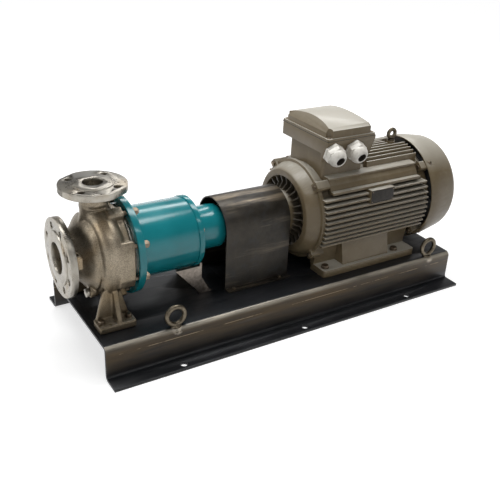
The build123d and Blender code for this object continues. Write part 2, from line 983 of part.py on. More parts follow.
def drive_shaft():
    first, second = bearing_starts()
    seat_start = outer_rotor_disc_front()
    width = drive_bearing_width
    body = ring(seat_start, first, drive_shaft_seat_radius)
    body += ring(outer_rotor_disc_front() + outer_rotor_disc + 10, first + width, drive_shaft_radius)
    body += ring(first + width, second, drive_shaft_shoulder)
    body += ring(second, second + width, drive_shaft_radius)
    body += ring(second + width, housing_end + 1, drive_shaft_seal_radius)
    return body + ring(housing_end + 1, pump_shaft_reach, drive_shaft_end_radius)


def bearing_outer(start, width, bore, outer):
    middle = bore + (outer - bore) / 2
    return ring(start, start + width, outer - fit, middle + running_gap / 2)


def bearing_inner(start, width, bore, outer):
    middle = bore + (outer - bore) / 2
    return ring(start, start + width, middle - running_gap / 2, bore + fit)


def drive_bearing_outer_rings():
    return Compound([bearing_outer(start, drive_bearing_width, drive_shaft_radius, drive_bearing_radius)
                     for start in bearing_starts()])


def drive_bearing_inner_rings():
    return Compound([bearing_inner(start, drive_bearing_width, drive_shaft_radius, drive_bearing_radius)
                     for start in bearing_starts()])


def bearing_spacer():
    first, second = bearing_starts()
    outer = drive_bearing_radius - fit
    return ring(first + drive_bearing_width, second, outer, outer - 5)


def bearing_housing():
    """Flanged barrel with a rounded end, closed round the shaft by a lip seal."""
    bore = drive_bearing_radius
    body = ring(lantern_rear, housing_rear_face, housing_flange_radius)
    body = fillet(body.edges().filter_by(GeomType.CIRCLE).sort_by(Axis.X)[-1], 2)
    barrel = ring(housing_rear_face, housing_end, housing_barrel_radius)
    barrel = fillet(barrel.edges().filter_by(GeomType.CIRCLE).sort_by(Axis.X)[-1], housing_end_round)
    body += barrel
    body -= ring(lantern_rear - 1, housing_end - housing_end_wall, bore)
    body -= ring(housing_end - seal_width, housing_end + 1, seal_radius)
    body -= ring(housing_end - housing_end_wall - 1, housing_end + 1, seal_radius - 4)
    hole = Cylinder(housing_bolt_size / 2 + bolt_clearance, housing_flange * 3)
    return cut_all(body, on_circle(lantern_rear, housing_bolt_circle / 2, housing_angles(), hole))


def shaft_seal():
    start = housing_end - seal_width
    return ring(start, housing_end, seal_radius - fit, drive_shaft_seal_radius + running_gap)


def is_bracket_bolt(angle):
    return math.sin(math.radians(angle)) < -math.cos(math.radians(360 / housing_bolts))


def bearing_housing_bolts():
    bolts = []
    grip = housing_flange + lantern_rim
    for angle in housing_angles():
        extra = bracket_sheet if is_bracket_bolt(angle) else 0
        one = bolt(housing_bolt_size, grip + extra, washer=False)
        bolts.append(along_shaft(housing_rear_face + extra, housing_bolt_circle / 2, angle, one))
    return Compound(bolts)


def support_bracket():
    """Bent plate: riser behind the housing flange, foot, and cheeks below the lantern."""
    half = bracket_width / 2
    x1 = housing_rear_face
    x2 = x1 + bracket_sheet
    floor = -shaft_height
    top = -housing_barrel_radius - bracket_saddle_drop
    body = block(x1, x2, -half, half, floor, top)
    body += block(x1, x1 + bracket_foot, -half, half, floor, floor + bracket_sheet)
    cheek = make_face(Polyline(
        (x1, -bracket_cheek_top), (x1 - bracket_cheek_reach, -bracket_cheek_top),
        (x1, floor + bracket_sheet), close=True,
    ))
    gusset = make_face(Polyline(
        (x2, floor + bracket_sheet), (x2 + bracket_foot - bracket_sheet * 2, floor + bracket_sheet),
        (x2, floor + bracket_gusset_height), close=True,
    ))
    for side in (-1, 1):
        start = side * half
        body += extrude(Plane.XZ.offset(-start) * cheek, side * bracket_sheet)
        body += extrude(Plane.XZ.offset(-start) * gusset, side * bracket_sheet)
    body -= ring(x1 - 1, x2 + 1, housing_barrel_radius + bracket_saddle_gap)
    hole = Cylinder(housing_bolt_size / 2 + bolt_clearance, bracket_sheet * 4)
    lower = [angle for angle in housing_angles() if is_bracket_bolt(angle)]
    body = cut_all(body, on_circle(x1, housing_bolt_circle / 2, lower, hole))
    for x, y in bracket_places():
        body -= Pos(x, y, floor) * Cylinder(bracket_bolt_size / 2 + bolt_clearance, bracket_sheet * 4)
    return body


def foot_bolts(places, size, thickness):
    length = thickness + base_sheet + size * nut_ratio + 3
    return Compound([Pos(x, y, thickness - shaft_height) * bolt(size, length) for x, y in places])


def pump_foot_bolts():
    return foot_bolts(pump_foot_places(), foot_bolt_size, foot_thickness)


def bracket_bolts():
    return foot_bolts(bracket_places(), bracket_bolt_size, bracket_sheet)


def guard_bolts():
    return foot_bolts(guard_places(), guard_bolt_size, guard_sheet)


def motor_foot_bolts():
    return foot_bolts(motor_foot_places(), motor_foot_bolt_size, motor_foot_thickness)


# Coupling
def sector(inner, outer, angle):
    """Ring sector centred on the +Y direction."""
    half = math.radians(angle / 2)
    far = outer * 1.5
    wedge = make_face(Polyline(
        (0, 0), (far * math.cos(half), -far * math.sin(half)), (far * math.cos(half), far * math.sin(half)),
        close=True,
    ))
    return (Circle(outer) - Circle(inner)) & wedge


def claws(start, length, first):
    face = sector(claw_inner_radius, coupling_radius, claw_angle)
    return [Rot(X=angle) * extrude(Plane.YZ.offset(start) * face, length)
            for angle in bolt_angles(claw_count, first)]


def pump_coupling_hub():
    start = pump_shaft_reach - pump_hub_length
    body = ring(start, pump_shaft_reach, coupling_radius, drive_shaft_end_radius + fit)
    for claw in claws(pump_shaft_reach, shaft_gap - claw_end_gap, 0):
        body += claw
    return body


def motor_coupling_hub():
    face = -motor_shaft_length
    body = ring(face, face + motor_hub_length, coupling_radius, motor_shaft_radius + fit)
    for claw in claws(face - shaft_gap + claw_end_gap, shaft_gap - claw_end_gap, 180 / claw_count):
        body += claw
    return body


def coupling_spider():
    """Elastic star between the claws."""
    lobe = 360 / claw_count / 2 - claw_angle
    start = pump_shaft_reach + claw_end_gap
    length = shaft_gap - claw_end_gap * 2
    ring_outer = claw_inner_radius - spider_gap
    body = ring(start, start + length, ring_outer, spider_ring_inner)
    face = sector(ring_outer - 1, coupling_radius - 1, lobe - 1)
    for angle in bolt_angles(claw_count * 2, 90 / claw_count):
        body += Rot(X=angle) * extrude(Plane.YZ.offset(start) * face, length)
    return body


def coupling_guard():
    """Arched sheet with two outward feet."""
    floor = -shaft_height
    outer = Circle(guard_radius) + Pos(0, floor / 2) * Rectangle(guard_radius * 2, shaft_height)
    inner_radius = guard_radius - guard_sheet
    inner = Circle(inner_radius) + Pos(0, floor / 2 - 1) * Rectangle(inner_radius * 2, shaft_height + 2)
    face = outer - inner
    for side in (-1, 1):
        face += Pos(side * (guard_radius + guard_foot / 2 - 1), floor + guard_sheet / 2) * Rectangle(
            guard_foot + 2, guard_sheet)
    body = extrude(Plane.YZ.offset(guard_start) * face, guard_length)
    for x, y in guard_places():
        body -= Pos(x, y, floor) * Cylinder(guard_bolt_size / 2 + bolt_clearance, guard_sheet * 4)
    return body


# Motor
def frame_section(shouldered):
    """Outline of the barrel with its side fins, across the shaft, with or without the shoulders."""
    face = Circle(frame_radius)
    for number in range(1, fin_count):
        height = fin_top - number * fin_pitch
        reach = math.sqrt(frame_fin_radius ** 2 - height ** 2)
        face += Pos(0, height) * Rectangle(reach * 2, fin_thickness)
    if shouldered:
        reach = math.sqrt(frame_fin_radius ** 2 - fin_top ** 2)
        face += Pos(0, fin_top) * Rectangle(reach * 2, ridge_thickness)
        shoulder = make_face(Polyline(
            (60, 100), (76, 119.5), (99, 118.5), (103, 116.5), (103.5, 113), (101.5, 110.5), (110, 101),
            (116, 91), (118, 84), (100, 60), close=True,
        ))
        face += shoulder + mirror(shoulder, Plane.YZ)
    return face - Circle(frame_bore_radius)


def finned_barrel():
    """Barrel in three lengths, the shoulders on the middle one."""
    shoulder_end = shoulder_start + shoulder_length
    ends = [frame_start + fin_rear_gap, shoulder_start, shoulder_end, frame_end - fin_rear_gap]
    body = ring(frame_start, ends[0], frame_radius, frame_bore_radius)
    for number in range(3):
        section = frame_section(number == 1)
        body += extrude(Plane.YZ.offset(ends[number]) * section, ends[number + 1] - ends[number])
    return body + ring(ends[3], frame_end, frame_radius, frame_bore_radius)


def top_fins():
    """Small upright fins behind the terminal box, shorter where the eyebolt stands."""
    start = box_start + box_length + top_fin_gap
    rear = frame_end - fin_rear_gap
    eye = frame_end - eyebolt_from_rear - eyebolt_size * 2
    root = (frame_radius + frame_bore_radius) / 2
    fins = []
    for number in range(top_fin_count):
        y = (number - (top_fin_count - 1) / 2) * top_fin_pitch
        end = eye if abs(y) < eyebolt_size * 2 else rear
        low = math.sqrt(root ** 2 - y ** 2)
        high = math.sqrt(frame_fin_radius ** 2 - y ** 2)
        half = fin_thickness / 2
        fins.append(block(start, end, y - half, y + half, low, high))
    return fins


def motor_foot(side):
    """Foot plate with bolt pockets either side of a raised block."""
    outer = motor_foot_width / 2
    floor = -shaft_height
    top = floor + motor_foot_thickness
    x1 = motor_foot_first - motor_foot_front
    x2 = x1 + motor_foot_length
    plate = block(x1, x2, motor_foot_inner, outer, floor, top)
    plate = fillet(plate.edges().filter_by(Axis.Z), motor_foot_round)
    lowest = fin_top - (fin_count - 1) * fin_pitch
    wall = make_face(Polyline(
        (motor_foot_inner, top), (motor_foot_inner + motor_foot_low_thickness, top),
        (motor_foot_inner + motor_foot_high_thickness, lowest), (motor_foot_inner, lowest), close=True,
    ))
    raised = make_face(Polyline(
        (motor_foot_inner, top), (outer - motor_foot_low_inset, top),
        (outer - motor_foot_high_inset, lowest), (motor_foot_inner, lowest), close=True,
    ))
    foot = plate + extrude(Plane.YZ.offset(x1) * wall, motor_foot_length)
    foot += extrude(Plane.YZ.offset(motor_foot_block_start) * raised, motor_foot_block_length)
    return foot if side > 0 else mirror(foot, Plane.XZ)


def shield_lugs(start, length):
    """Square lugs round the shield bolts."""
    half = shield_lug_width / 2
    lug = block(start, start + length, frame_bore_radius + 4, shield_lug_reach, -half, half)
    lug = fillet(lug.edges().filter_by(Axis.X).sort_by(Axis.Y)[-2:], shield_lug_round)
    return [Rot(X=angle) * lug for angle in shield_angles()]


def motor_frame():
    """Cast frame with side fins, shoulders, top fins, feet and the neck of the terminal box."""
    body = finned_barrel()
    body += ring(frame_start, frame_start + frame_rim, frame_rim_radius, frame_radius - 3)
    for piece in top_fins() + [motor_foot(-1), motor_foot(1)]:
        body += piece
    for lug in shield_lugs(frame_start, front_lug_length):
        body += lug
    for lug in shield_lugs(frame_end - rear_lug_length, rear_lug_length):
        body += lug
    neck_x1 = box_start + neck_inset
    neck_x2 = box_start + box_length - neck_inset
    half = neck_width / 2
    neck = block(neck_x1, neck_x2, -half, half, frame_radius * 0.7, box_floor_height)
    body += fillet(neck.edges().filter_by(Axis.Z), 10)
    body += block(plate_start - 1, plate_start + plate_length + 1, -plate_pad_reach, -frame_radius + 20,
                  plate_rise - 1, plate_rise + plate_height + 1)
    eye_x = frame_end - eyebolt_from_rear
    body += Pos(eye_x, 0, eyebolt_seat()) * rod(eyebolt_boss + 1, eyebolt_size)
    return motor_frame_cuts(body, neck_x1, neck_x2, half)


def motor_frame_cuts(body, neck_x1, neck_x2, half):
    body -= ring(frame_start - 1, frame_end + 1, frame_bore_radius)
    body -= block(neck_x1 + neck_wall, neck_x2 - neck_wall, -half + neck_wall, half - neck_wall,
                  frame_bore_radius - 20, box_floor_height + 1)
    tapped = rod(front_bolt_engagement + 4, shield_bolt_size / 2 + thread_gap)
    body = cut_all(body, on_circle(frame_start, shield_lug_circle / 2, shield_angles(), tapped, -1))
    hole = Cylinder(shield_bolt_size / 2 + bolt_clearance, rear_lug_length * 3)
    body = cut_all(body, on_circle(frame_end, shield_lug_circle / 2, shield_angles(), hole))
    for x, y in motor_foot_places():
        body -= Pos(x, y, -shaft_height) * Cylinder(motor_foot_bolt_size / 2 + bolt_clearance,
                                                    motor_foot_thickness * 3)
    eye_x = frame_end - eyebolt_from_rear
    body -= Pos(eye_x, 0, eyebolt_seat()) * rod(eyebolt_engagement + 2, eyebolt_size / 2 + thread_gap)
    return body


def eyebolt_seat():
    return frame_radius + eyebolt_boss


def drive_end_shield():
    """Conical ring with a ribbed dish round the bearing hub."""
    floor = shield_front + shield_dish_depth
    back = floor + shield_wall
    body = turned(
        (shield_hub_front, motor_bearing_bore + 2), (shield_hub_front, shield_hub_radius - 2),
        (shield_hub_front + 3, shield_hub_radius), (floor, shield_hub_radius + 2),
        (floor, shield_ring_inner - 3),
        (shield_front, shield_ring_inner), (shield_front, shield_ring_front_radius - shield_round),
        (shield_front + shield_round, shield_ring_front_radius), (frame_start, shield_ring_rear_radius),
        (frame_start, frame_bore_radius - running_gap),
        (frame_start + shield_spigot, frame_bore_radius - running_gap),
        (frame_start + shield_spigot, frame_bore_radius - 7), (back, frame_bore_radius - 14),
        (back, motor_bearing_radius), (motor_bearing_start, motor_bearing_radius),
        (motor_bearing_start, motor_bearing_bore + 2),
    )
    for lug in shield_lugs(frame_start - shield_flange, shield_flange):
        body += lug - ring(frame_start - shield_flange - 1, frame_start + 1, shield_ring_front_radius)
    rib_face = make_face(Polyline(
        (floor + 2, shield_hub_radius - 2), (shield_front - 10, shield_hub_radius - 2),
        (shield_front + 7, (shield_hub_radius + shield_ring_inner) / 2),
        (shield_front + 3, shield_ring_inner + 2),
        (floor + 2, shield_ring_inner + 2), close=True,
    ))
    rib = extrude(Plane.XZ * rib_face, shield_rib_thickness / 2, both=True)
    for angle in bolt_angles(shield_ribs, 0):
        body += Rot(X=angle) * rib
    hole = Cylinder(shield_bolt_size / 2 + bolt_clearance, shield_flange * 3)
    return cut_all(body, on_circle(frame_start, shield_lug_circle / 2, shield_angles(), hole))


def fan_bearing_start():
    return frame_end - 26


def fan_end_shield():
    """Rear cover with the rear bearing seat and four arms for the cowl."""
    start = fan_bearing_start()
    back = frame_end + fan_shield_wall
    body = turned(
        (start - 6, fan_bearing_radius), (start - 6, fan_shield_hub), (frame_end - 10, fan_shield_hub + 6),
        (frame_end - shield_spigot, frame_bore_radius - 8),
        (frame_end - shield_spigot, frame_bore_radius - running_gap),
        (frame_end, frame_bore_radius - running_gap), (frame_end, shield_ring_rear_radius),
        (back, shield_ring_rear_radius - 4), (back, fan_bearing_bore + 2),
        (start + fan_bearing_width, fan_bearing_bore + 2), (start + fan_bearing_width, fan_bearing_radius),
    )
    for lug in shield_lugs(frame_end, fan_shield_wall):
        body += lug
    for angle in cowl_angles():
        body += Rot(X=angle) * cowl_arm()
    tapped = rod(fan_shield_wall - 1, shield_bolt_size / 2 + thread_gap)
    body = cut_all(body, on_circle(frame_end, shield_lug_circle / 2, shield_angles(), tapped, -1))
    tapped = rod(cowl_arm_thickness + 1, cowl_screw_size / 2 + thread_gap)
    for angle in cowl_angles():
        body -= radial(cowl_start + cowl_screw_inset, cowl_radius, angle, tapped)
    return body


def cowl_arm():
    """Arm that runs back from a shield lug and carries a cowl screw."""
    back = frame_end + fan_shield_wall
    end = cowl_start + cowl_screw_inset * 2
    outer = cowl_radius - cowl_sheet - seat_gap
    inner = outer - cowl_arm_thickness
    profile = make_face(Polyline(
        (cowl_start, cowl_arm_root), (cowl_start, cowl_radius), (end, cowl_radius), (end, inner),
        (back + 4, inner), (back, cowl_arm_root), close=True,
    ))
    arm = extrude(Plane.XZ * profile, cowl_arm_width / 2, both=True)
    return arm & ring(frame_end, end + 1, outer)


def cowl_angles():
    return bolt_angles(shield_bolts, 360 / shield_bolts / 2)


def radial(x, radius, angle, shape):
    """Shape whose +Z points away from the shaft line."""
    y, z = polar(radius, angle)
    turn = math.radians(angle)
    return facing((x, y, z), (0, math.cos(turn), math.sin(turn))) * shape


def end_shield_bolts():
    one = bolt(shield_bolt_size, shield_flange + front_bolt_engagement, washer=False)
    front = on_circle(frame_start - shield_flange, shield_lug_circle / 2, shield_angles(), one, -1)
    one = bolt(shield_bolt_size, rear_lug_length + fan_shield_wall - 3, washer=False)
    rear = on_circle(frame_end - rear_lug_length, shield_lug_circle / 2, shield_angles(), one, -1)
    return Compound(front + rear)


def stator_core():
    return ring(core_start, core_end, frame_bore_radius - fit, stator_inner_radius)


def stator_windings():
    ends = []
    for start, end in ((core_start - winding_reach, core_start), (core_end, core_end + winding_reach)):
        coil = ring(start, end, winding_outer_radius, winding_inner_radius)
        face = coil.edges().filter_by(GeomType.CIRCLE).sort_by(Axis.X)
        outer_edges = face[:2] if start < core_start else face[-2:]
        ends.append(fillet(outer_edges, 9))
    return Compound(ends)


def rotor_core():
    body = ring(core_start, core_end, stator_inner_radius - air_gap, rotor_shaft_radius + fit)
    for start, end in ((core_start - 12, core_start), (core_end, core_end + 12)):
        body += ring(start, end, stator_inner_radius - 8, rotor_shaft_radius + 14)
    return body


def motor_shaft():
    start = motor_bearing_start
    bearing_end = start + motor_bearing_width
    fan_bearing = fan_bearing_start()
    body = ring(-motor_shaft_length, 0, motor_shaft_radius)
    body += ring(0, bearing_end, motor_bearing_bore)
    body += ring(bearing_end, core_start, motor_bearing_bore + 3)
    body += ring(core_start, core_end, rotor_shaft_radius)
    body += ring(core_end, fan_bearing, fan_bearing_bore + 3)
    body += ring(fan_bearing, fan_bearing + fan_bearing_width, fan_bearing_bore)
    return body + ring(fan_bearing + fan_bearing_width, fan_start + fan_hub_length, fan_seat_radius)


def motor_bearing_outer_rings():
    return Compound([
        bearing_outer(motor_bearing_start, motor_bearing_width, motor_bearing_bore, motor_bearing_radius),
        bearing_outer(fan_bearing_start(), fan_bearing_width, fan_bearing_bore, fan_bearing_radius),
    ])


def motor_bearing_inner_rings():
    return Compound([
        bearing_inner(motor_bearing_start, motor_bearing_width, motor_bearing_bore, motor_bearing_radius),
        bearing_inner(fan_bearing_start(), fan_bearing_width, fan_bearing_bore, fan_bearing_radius),
    ])


def cooling_fan():
    """Radial fan, the same for both directions of rotation."""
    end = fan_start + fan_hub_length
    body = ring(fan_start, end, fan_hub_radius, fan_seat_radius + fit)
    body += ring(fan_start, fan_start + fan_disc, fan_radius * 0.72, fan_seat_radius + fit)
    blade_face = make_face(Polyline(
        (fan_start, fan_hub_radius - 4), (end, fan_hub_radius - 4), (end + 8, fan_radius * 0.7),
        (end, fan_radius), (fan_start + 8, fan_radius), (fan_start, fan_radius * 0.7), close=True,
    ))
    blade = extrude(Plane.XZ * blade_face, fan_blade_thickness / 2, both=True)
    for angle in bolt_angles(fan_blades, 0):
        body += Rot(X=angle) * blade
    return body


def cowl_form(start, end, thinner):
    """Straight and then tapering hood with a rounded end, thinner all round by a wall."""
    turn = cowl_start + cowl_straight
    form = turned((start, 0), (start, cowl_radius - thinner), (turn, cowl_radius - thinner),
                  (end, cowl_end_radius - thinner), (end, 0))
    return fillet(form.edges().filter_by(GeomType.CIRCLE).sort_by(Axis.X)[-1], cowl_round - thinner)


def fan_cowl():
    """Drawn sheet hood with a slotted grille at its end."""
    end = cowl_start + cowl_length
    body = cowl_form(cowl_start, end, 0) - cowl_form(cowl_start - 1, end - cowl_sheet, cowl_sheet)
    slots = Sketch()
    for number in range(grille_rings):
        radius = grille_first + number * grille_pitch
        sweep = 360 / grille_slots - grille_web_angle * grille_first / radius * 1.6
        for slot in range(grille_slots):
            opening = sweep - math.degrees(grille_slot_width / radius)
            arc = CenterArc((0, 0), radius, slot * 360 / grille_slots, opening)
            slots += SlotArc(arc, grille_slot_width)
    body -= extrude(Plane.YZ.offset(end - cowl_sheet * 2) * slots, cowl_sheet * 3)
    hole = Cylinder(cowl_screw_size / 2 + bolt_clearance, cowl_sheet * 6)
    for angle in cowl_angles():
        body -= radial(cowl_start + cowl_screw_inset, cowl_radius, angle, hole)
    return body


def cowl_screws():
    one = screw(cowl_screw_size, cowl_sheet + 10)
    return Compound([radial(cowl_start + cowl_screw_inset, cowl_radius + seat_gap, angle, one)
                     for angle in cowl_angles()])


# Terminal box
def gland_places():
    return [box_start + gland_first + number * gland_pitch for number in range(2)]


def gland_height():
    return box_floor_height + gland_rise


def gland_wall(height):
    """Place of the leaning gland wall at a height."""
    top = box_floor_height + box_height - box_gland_lip
    return -box_width / 2 + (top - height) * math.tan(math.radians(gland_tilt))


def terminal_box():
    """Box whose wall leans inwards where the cable glands sit."""
    half = box_width / 2
    x1 = box_start
    x2 = box_start + box_length
    top = box_floor_height + box_height
    low = box_floor_height - box_gland_drop
    inner = -half + box_gland_depth
    section = make_face(Polyline(
        (-half, top), (-half, top - box_gland_lip), (gland_wall(low), low), (inner, low),
        (inner, box_floor_height), (half, box_floor_height), (half, top), close=True,
    ))
    outside = extrude(Plane.YZ.offset(x1) * section, box_length)
    outside = fillet(outside.edges().filter_by(Axis.Z).sort_by(Axis.Y)[-2:], box_corner)
    lean = box_wall / math.cos(math.radians(gland_tilt))
    floor = box_floor_height + box_wall
    pit = low + box_pit
    hollow = make_face(Polyline(
        (-half + lean, top + 1), (-half + lean, top - box_gland_lip), (gland_wall(pit) + lean, pit),
        (inner - box_gland_wall, pit), (inner - box_gland_wall, floor), (half - box_wall, floor),
        (half - box_wall, top + 1), close=True,
    ))
    body = outside - extrude(Plane.YZ.offset(x1 + box_wall) * hollow, box_length - box_wall * 2)
    body -= block(x1 + neck_inset + neck_wall, x2 - neck_inset - neck_wall, -neck_width / 2 + neck_wall,
                  neck_width / 2 - neck_wall, low, floor + 1)
    posts = [Pos(x, y, top) * rod(box_height - box_wall, lid_screw_size) for x, y in lid_places()]
    for post in posts:
        body += post & outside
    for x, y in lid_places():
        body -= Pos(x, y, top) * rod(box_height / 2, lid_screw_size / 2 + thread_gap)
    for x in gland_places():
        body -= gland_at(x, Pos(0, 0, 4) * rod(box_wall * 2, gland_size / 2 + bolt_clearance))
    return body


def lid_places():
    half = box_width / 2 - lid_screw_inset
    xs = (box_start + lid_screw_inset, box_start + box_length - lid_screw_inset)
    return [(x, side * half) for x in xs for side in (-1, 1)]


def lid_bottom():
    return box_floor_height + box_height + lid_gasket


def terminal_lid_gasket():
    top = lid_bottom() - lid_gasket
    half = box_width / 2
    x2 = box_start + box_length
    body = block(box_start, x2, -half, half, top, top + lid_gasket)
    body -= block(box_start + box_wall, x2 - box_wall, -half + box_wall, half - box_wall, top - 1, top + 3)
    for x, y in lid_places():
        body -= Pos(x, y, top) * Cylinder(lid_screw_size / 2 + bolt_clearance, lid_gasket * 4)
    return body


def lid_form(inset, lift):
    """Crowned top of the lid with bevelled ends."""
    half = box_width / 2 - inset
    x1 = box_start + inset
    x2 = box_start + box_length - inset
    low = lid_bottom() + lift
    side = lid_bottom() + lid_flange + lid_side - inset * 0.4
    crown = side + lid_crown - inset * 0.6
    arch = Curve() + ThreePointArc((half, side), (0, crown), (-half, side))
    arch += Polyline((-half, side), (-half, low), (half, low), (half, side))
    form = extrude(Plane.YZ.offset(x1) * make_face(arch), x2 - x1)
    ends = make_face(Polyline(
        (x1, low - 1), (x1, side - lid_side * 0.3), (x1 + lid_bevel, crown + 1),
        (x2 - lid_bevel, crown + 1), (x2, side - lid_side * 0.3), (x2, low - 1), close=True,
    ))
    return form & extrude(Plane.XZ.offset(-half - 1) * ends, half * 2 + 2)


def terminal_lid():
    half = box_width / 2
    low = lid_bottom()
    flange = block(box_start, box_start + box_length, -half, half, low, low + lid_flange)
    flange = fillet(flange.edges().filter_by(Axis.Z), box_corner)
    body = flange + lid_form(lid_inset, 0) - lid_form(lid_inset + lid_wall, -1)
    corner = lid_screw_size * 1.5
    form = lid_form(lid_inset, 0)
    for x, y in lid_places():
        body += form & Pos(x, y, low + 40) * Cylinder(corner + lid_wall, 80)
    for x, y in lid_places():
        body -= Pos(x, y, low + lid_flange + 30) * Cylinder(corner, 60)
        body += Pos(x, y, low + lid_flange / 2) * Cylinder(corner + 1, lid_flange)
        body -= Pos(x, y, low) * Cylinder(lid_screw_size / 2 + bolt_clearance, lid_flange * 4)
    return body & block(box_start, box_start + box_length, -half, half, low, low + 80)


def terminal_lid_screws():
    one = screw(lid_screw_size, lid_flange + lid_gasket + 12)
    return Compound([Pos(x, y, lid_bottom() + lid_flange) * one for x, y in lid_places()])


def terminal_block():
    """Block with six studs for the winding leads, on the rear edge of the box floor."""
    x1 = box_start + (box_length - block_length) / 2
    y2 = box_width / 2 - box_wall - 2
    bottom = box_floor_height + box_wall
    y1 = neck_width / 2 - neck_wall - block_width / 2
    body = block(x1, x1 + block_length, y1, y2, bottom, bottom + 8)
    for number in range(3):
        for row in range(2):
            x = x1 + block_length * (number + 0.5) / 3
            y = y2 - 6 - row * 10
            body += Pos(x, y, bottom + block_height / 2) * Cylinder(2.5, block_height)
    return body


def gland_at(x, shape):
    """Shape whose +Z looks out of the leaning box wall."""
    turn = math.radians(gland_tilt)
    place = (x, gland_wall(gland_height()), gland_height())
    return facing(place, (0, -math.cos(turn), -math.sin(turn))) * shape


def cable_gland_bodies():
    body = extrude(RegularPolygon(gland_across / 2, 6, major_radius=False), gland_collar)
    body += rod(gland_tail, gland_size / 2)
    neck = gland_size / 2 - gland_thread_step
    body += Pos(0, 0, gland_collar + gland_thread_length / 2) * Cylinder(neck, gland_thread_length)
    body -= Cylinder(neck - gland_body_wall, gland_size * 4)
    return Compound([gland_at(x, body) for x in gland_places()])


def cable_gland_nuts():
    """Hexagon nuts that end in a rounded, open mouth."""
    wide = gland_across / 2 - 1
    start = gland_collar + gland_nut_gap
    body = extrude(Plane.XY.offset(start) * RegularPolygon(wide, 6, major_radius=False), gland_nut_hex)
    foot = start + gland_nut_hex
    tip = foot + gland_nut_dome
    mouth = gland_mouth_radius + gland_mouth_rim
    crest = ((wide + mouth) / 2 + gland_dome_bulge, 0, foot + gland_nut_dome * 0.6)
    arch = Curve() + ThreePointArc((wide, 0, foot), crest, (mouth, 0, tip))
    arch += Polyline((mouth, 0, tip), (0, 0, tip), (0, 0, foot), (wide, 0, foot))
    body += revolve(make_face(arch), Axis.Z)
    body -= Cylinder(gland_mouth_radius, tip * 3)
    body -= Cylinder(gland_size / 2 - gland_thread_step + thread_gap, (start + gland_thread_length) * 2)
    return Compound([gland_at(x, body) for x in gland_places()])


def motor_eyebolt():
    x = frame_end - eyebolt_from_rear
    middle = (eyebolt_ring - eyebolt_wire) / 2
    loop = Pos(0, 0, eyebolt_ring / 2 + eyebolt_collar / 2) * Rot(X=90) * Torus(middle, eyebolt_wire / 2)
    collar = Pos(0, 0, eyebolt_collar / 2) * Cylinder(eyebolt_size * 0.9, eyebolt_collar)
    return Pos(x, 0, eyebolt_seat()) * (loop + collar + rod(eyebolt_engagement, eyebolt_size / 2))


def rating_plate():
    """Bare plate on its pad beside the fins."""
    outer = -plate_pad_reach - plate_thickness
    return block(plate_start, plate_start + plate_length, outer, -plate_pad_reach,
                 plate_rise, plate_rise + plate_height)


on_base = [base_frame, lifting_eyes, base_nuts]
on_pump = [
    volute_casing, drain_plug, casing_gasket, casing_cover, bearing_holder, bearing_holder_screws,
    bearing_bushes, shaft_sleeve, pump_shaft, pump_shaft_nuts, impeller, inner_magnet_rotor,
    containment_shell, casing_studs, casing_nuts, lantern, outer_magnet_rotor, drive_shaft,
    drive_bearing_outer_rings, drive_bearing_inner_rings, bearing_spacer,
    bearing_housing, shaft_seal, bearing_housing_bolts, support_bracket, bracket_bolts, pump_foot_bolts,
    pump_coupling_hub, coupling_spider, coupling_guard, guard_bolts, inner_magnets, outer_magnets,
]
on_motor = [
    motor_coupling_hub, motor_frame, drive_end_shield, fan_end_shield, end_shield_bolts,
    stator_core, stator_windings, rotor_core, motor_shaft, motor_bearing_outer_rings,
    motor_bearing_inner_rings, cooling_fan, fan_cowl, cowl_screws, terminal_box, terminal_lid_gasket,
    terminal_lid, terminal_lid_screws, terminal_block, cable_gland_bodies, cable_gland_nuts,
    motor_eyebolt, rating_plate, motor_foot_bolts,
]


def write(name, shape):
    export_step(shape, os.path.join("parts", name + ".step"))


os.makedirs("parts", exist_ok=True)
for make in on_base:
    write(make.__name__, make())
for make in on_pump:
    write(make.__name__, at_pump(make()))
for make in on_motor:
    write(make.__name__, at_motor(make()))
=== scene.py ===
import json
import math
import bmesh
import bpy
from mathutils import Matrix, Vector

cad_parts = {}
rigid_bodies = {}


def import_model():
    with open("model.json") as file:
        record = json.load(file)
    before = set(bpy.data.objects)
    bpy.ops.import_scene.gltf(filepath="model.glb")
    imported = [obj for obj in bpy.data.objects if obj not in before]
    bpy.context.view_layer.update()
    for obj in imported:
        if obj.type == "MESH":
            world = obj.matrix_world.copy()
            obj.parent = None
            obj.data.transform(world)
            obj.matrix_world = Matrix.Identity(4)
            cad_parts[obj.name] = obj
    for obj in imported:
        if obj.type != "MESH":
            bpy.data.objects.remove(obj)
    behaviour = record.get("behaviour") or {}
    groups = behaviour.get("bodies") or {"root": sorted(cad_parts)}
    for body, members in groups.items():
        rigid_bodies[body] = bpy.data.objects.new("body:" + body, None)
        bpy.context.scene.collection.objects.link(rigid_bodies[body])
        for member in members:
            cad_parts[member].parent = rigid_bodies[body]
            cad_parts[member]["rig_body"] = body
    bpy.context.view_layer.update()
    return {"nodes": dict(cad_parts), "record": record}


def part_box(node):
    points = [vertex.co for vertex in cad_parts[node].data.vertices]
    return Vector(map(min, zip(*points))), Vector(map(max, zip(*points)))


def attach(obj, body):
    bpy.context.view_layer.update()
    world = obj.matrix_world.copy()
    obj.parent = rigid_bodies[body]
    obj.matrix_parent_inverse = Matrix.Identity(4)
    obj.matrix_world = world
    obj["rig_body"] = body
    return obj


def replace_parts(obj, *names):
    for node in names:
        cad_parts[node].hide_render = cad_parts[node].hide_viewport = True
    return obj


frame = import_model()
nodes = frame["nodes"]
mm = 0.001

# Pump, motor and base, in metres: the shaft line runs along X, the discharge line upwards at pump_x,
# and motor_x is the shoulder of the motor's shaft
shaft_z = 0.252
pump_x = -0.496
motor_x = 0.019
plate_top = 0.092
plate_edge = 0.190

# Where the two turned flanges leave the cast body
suction_back = pump_x - 0.080
discharge_back = shaft_z + 0.161

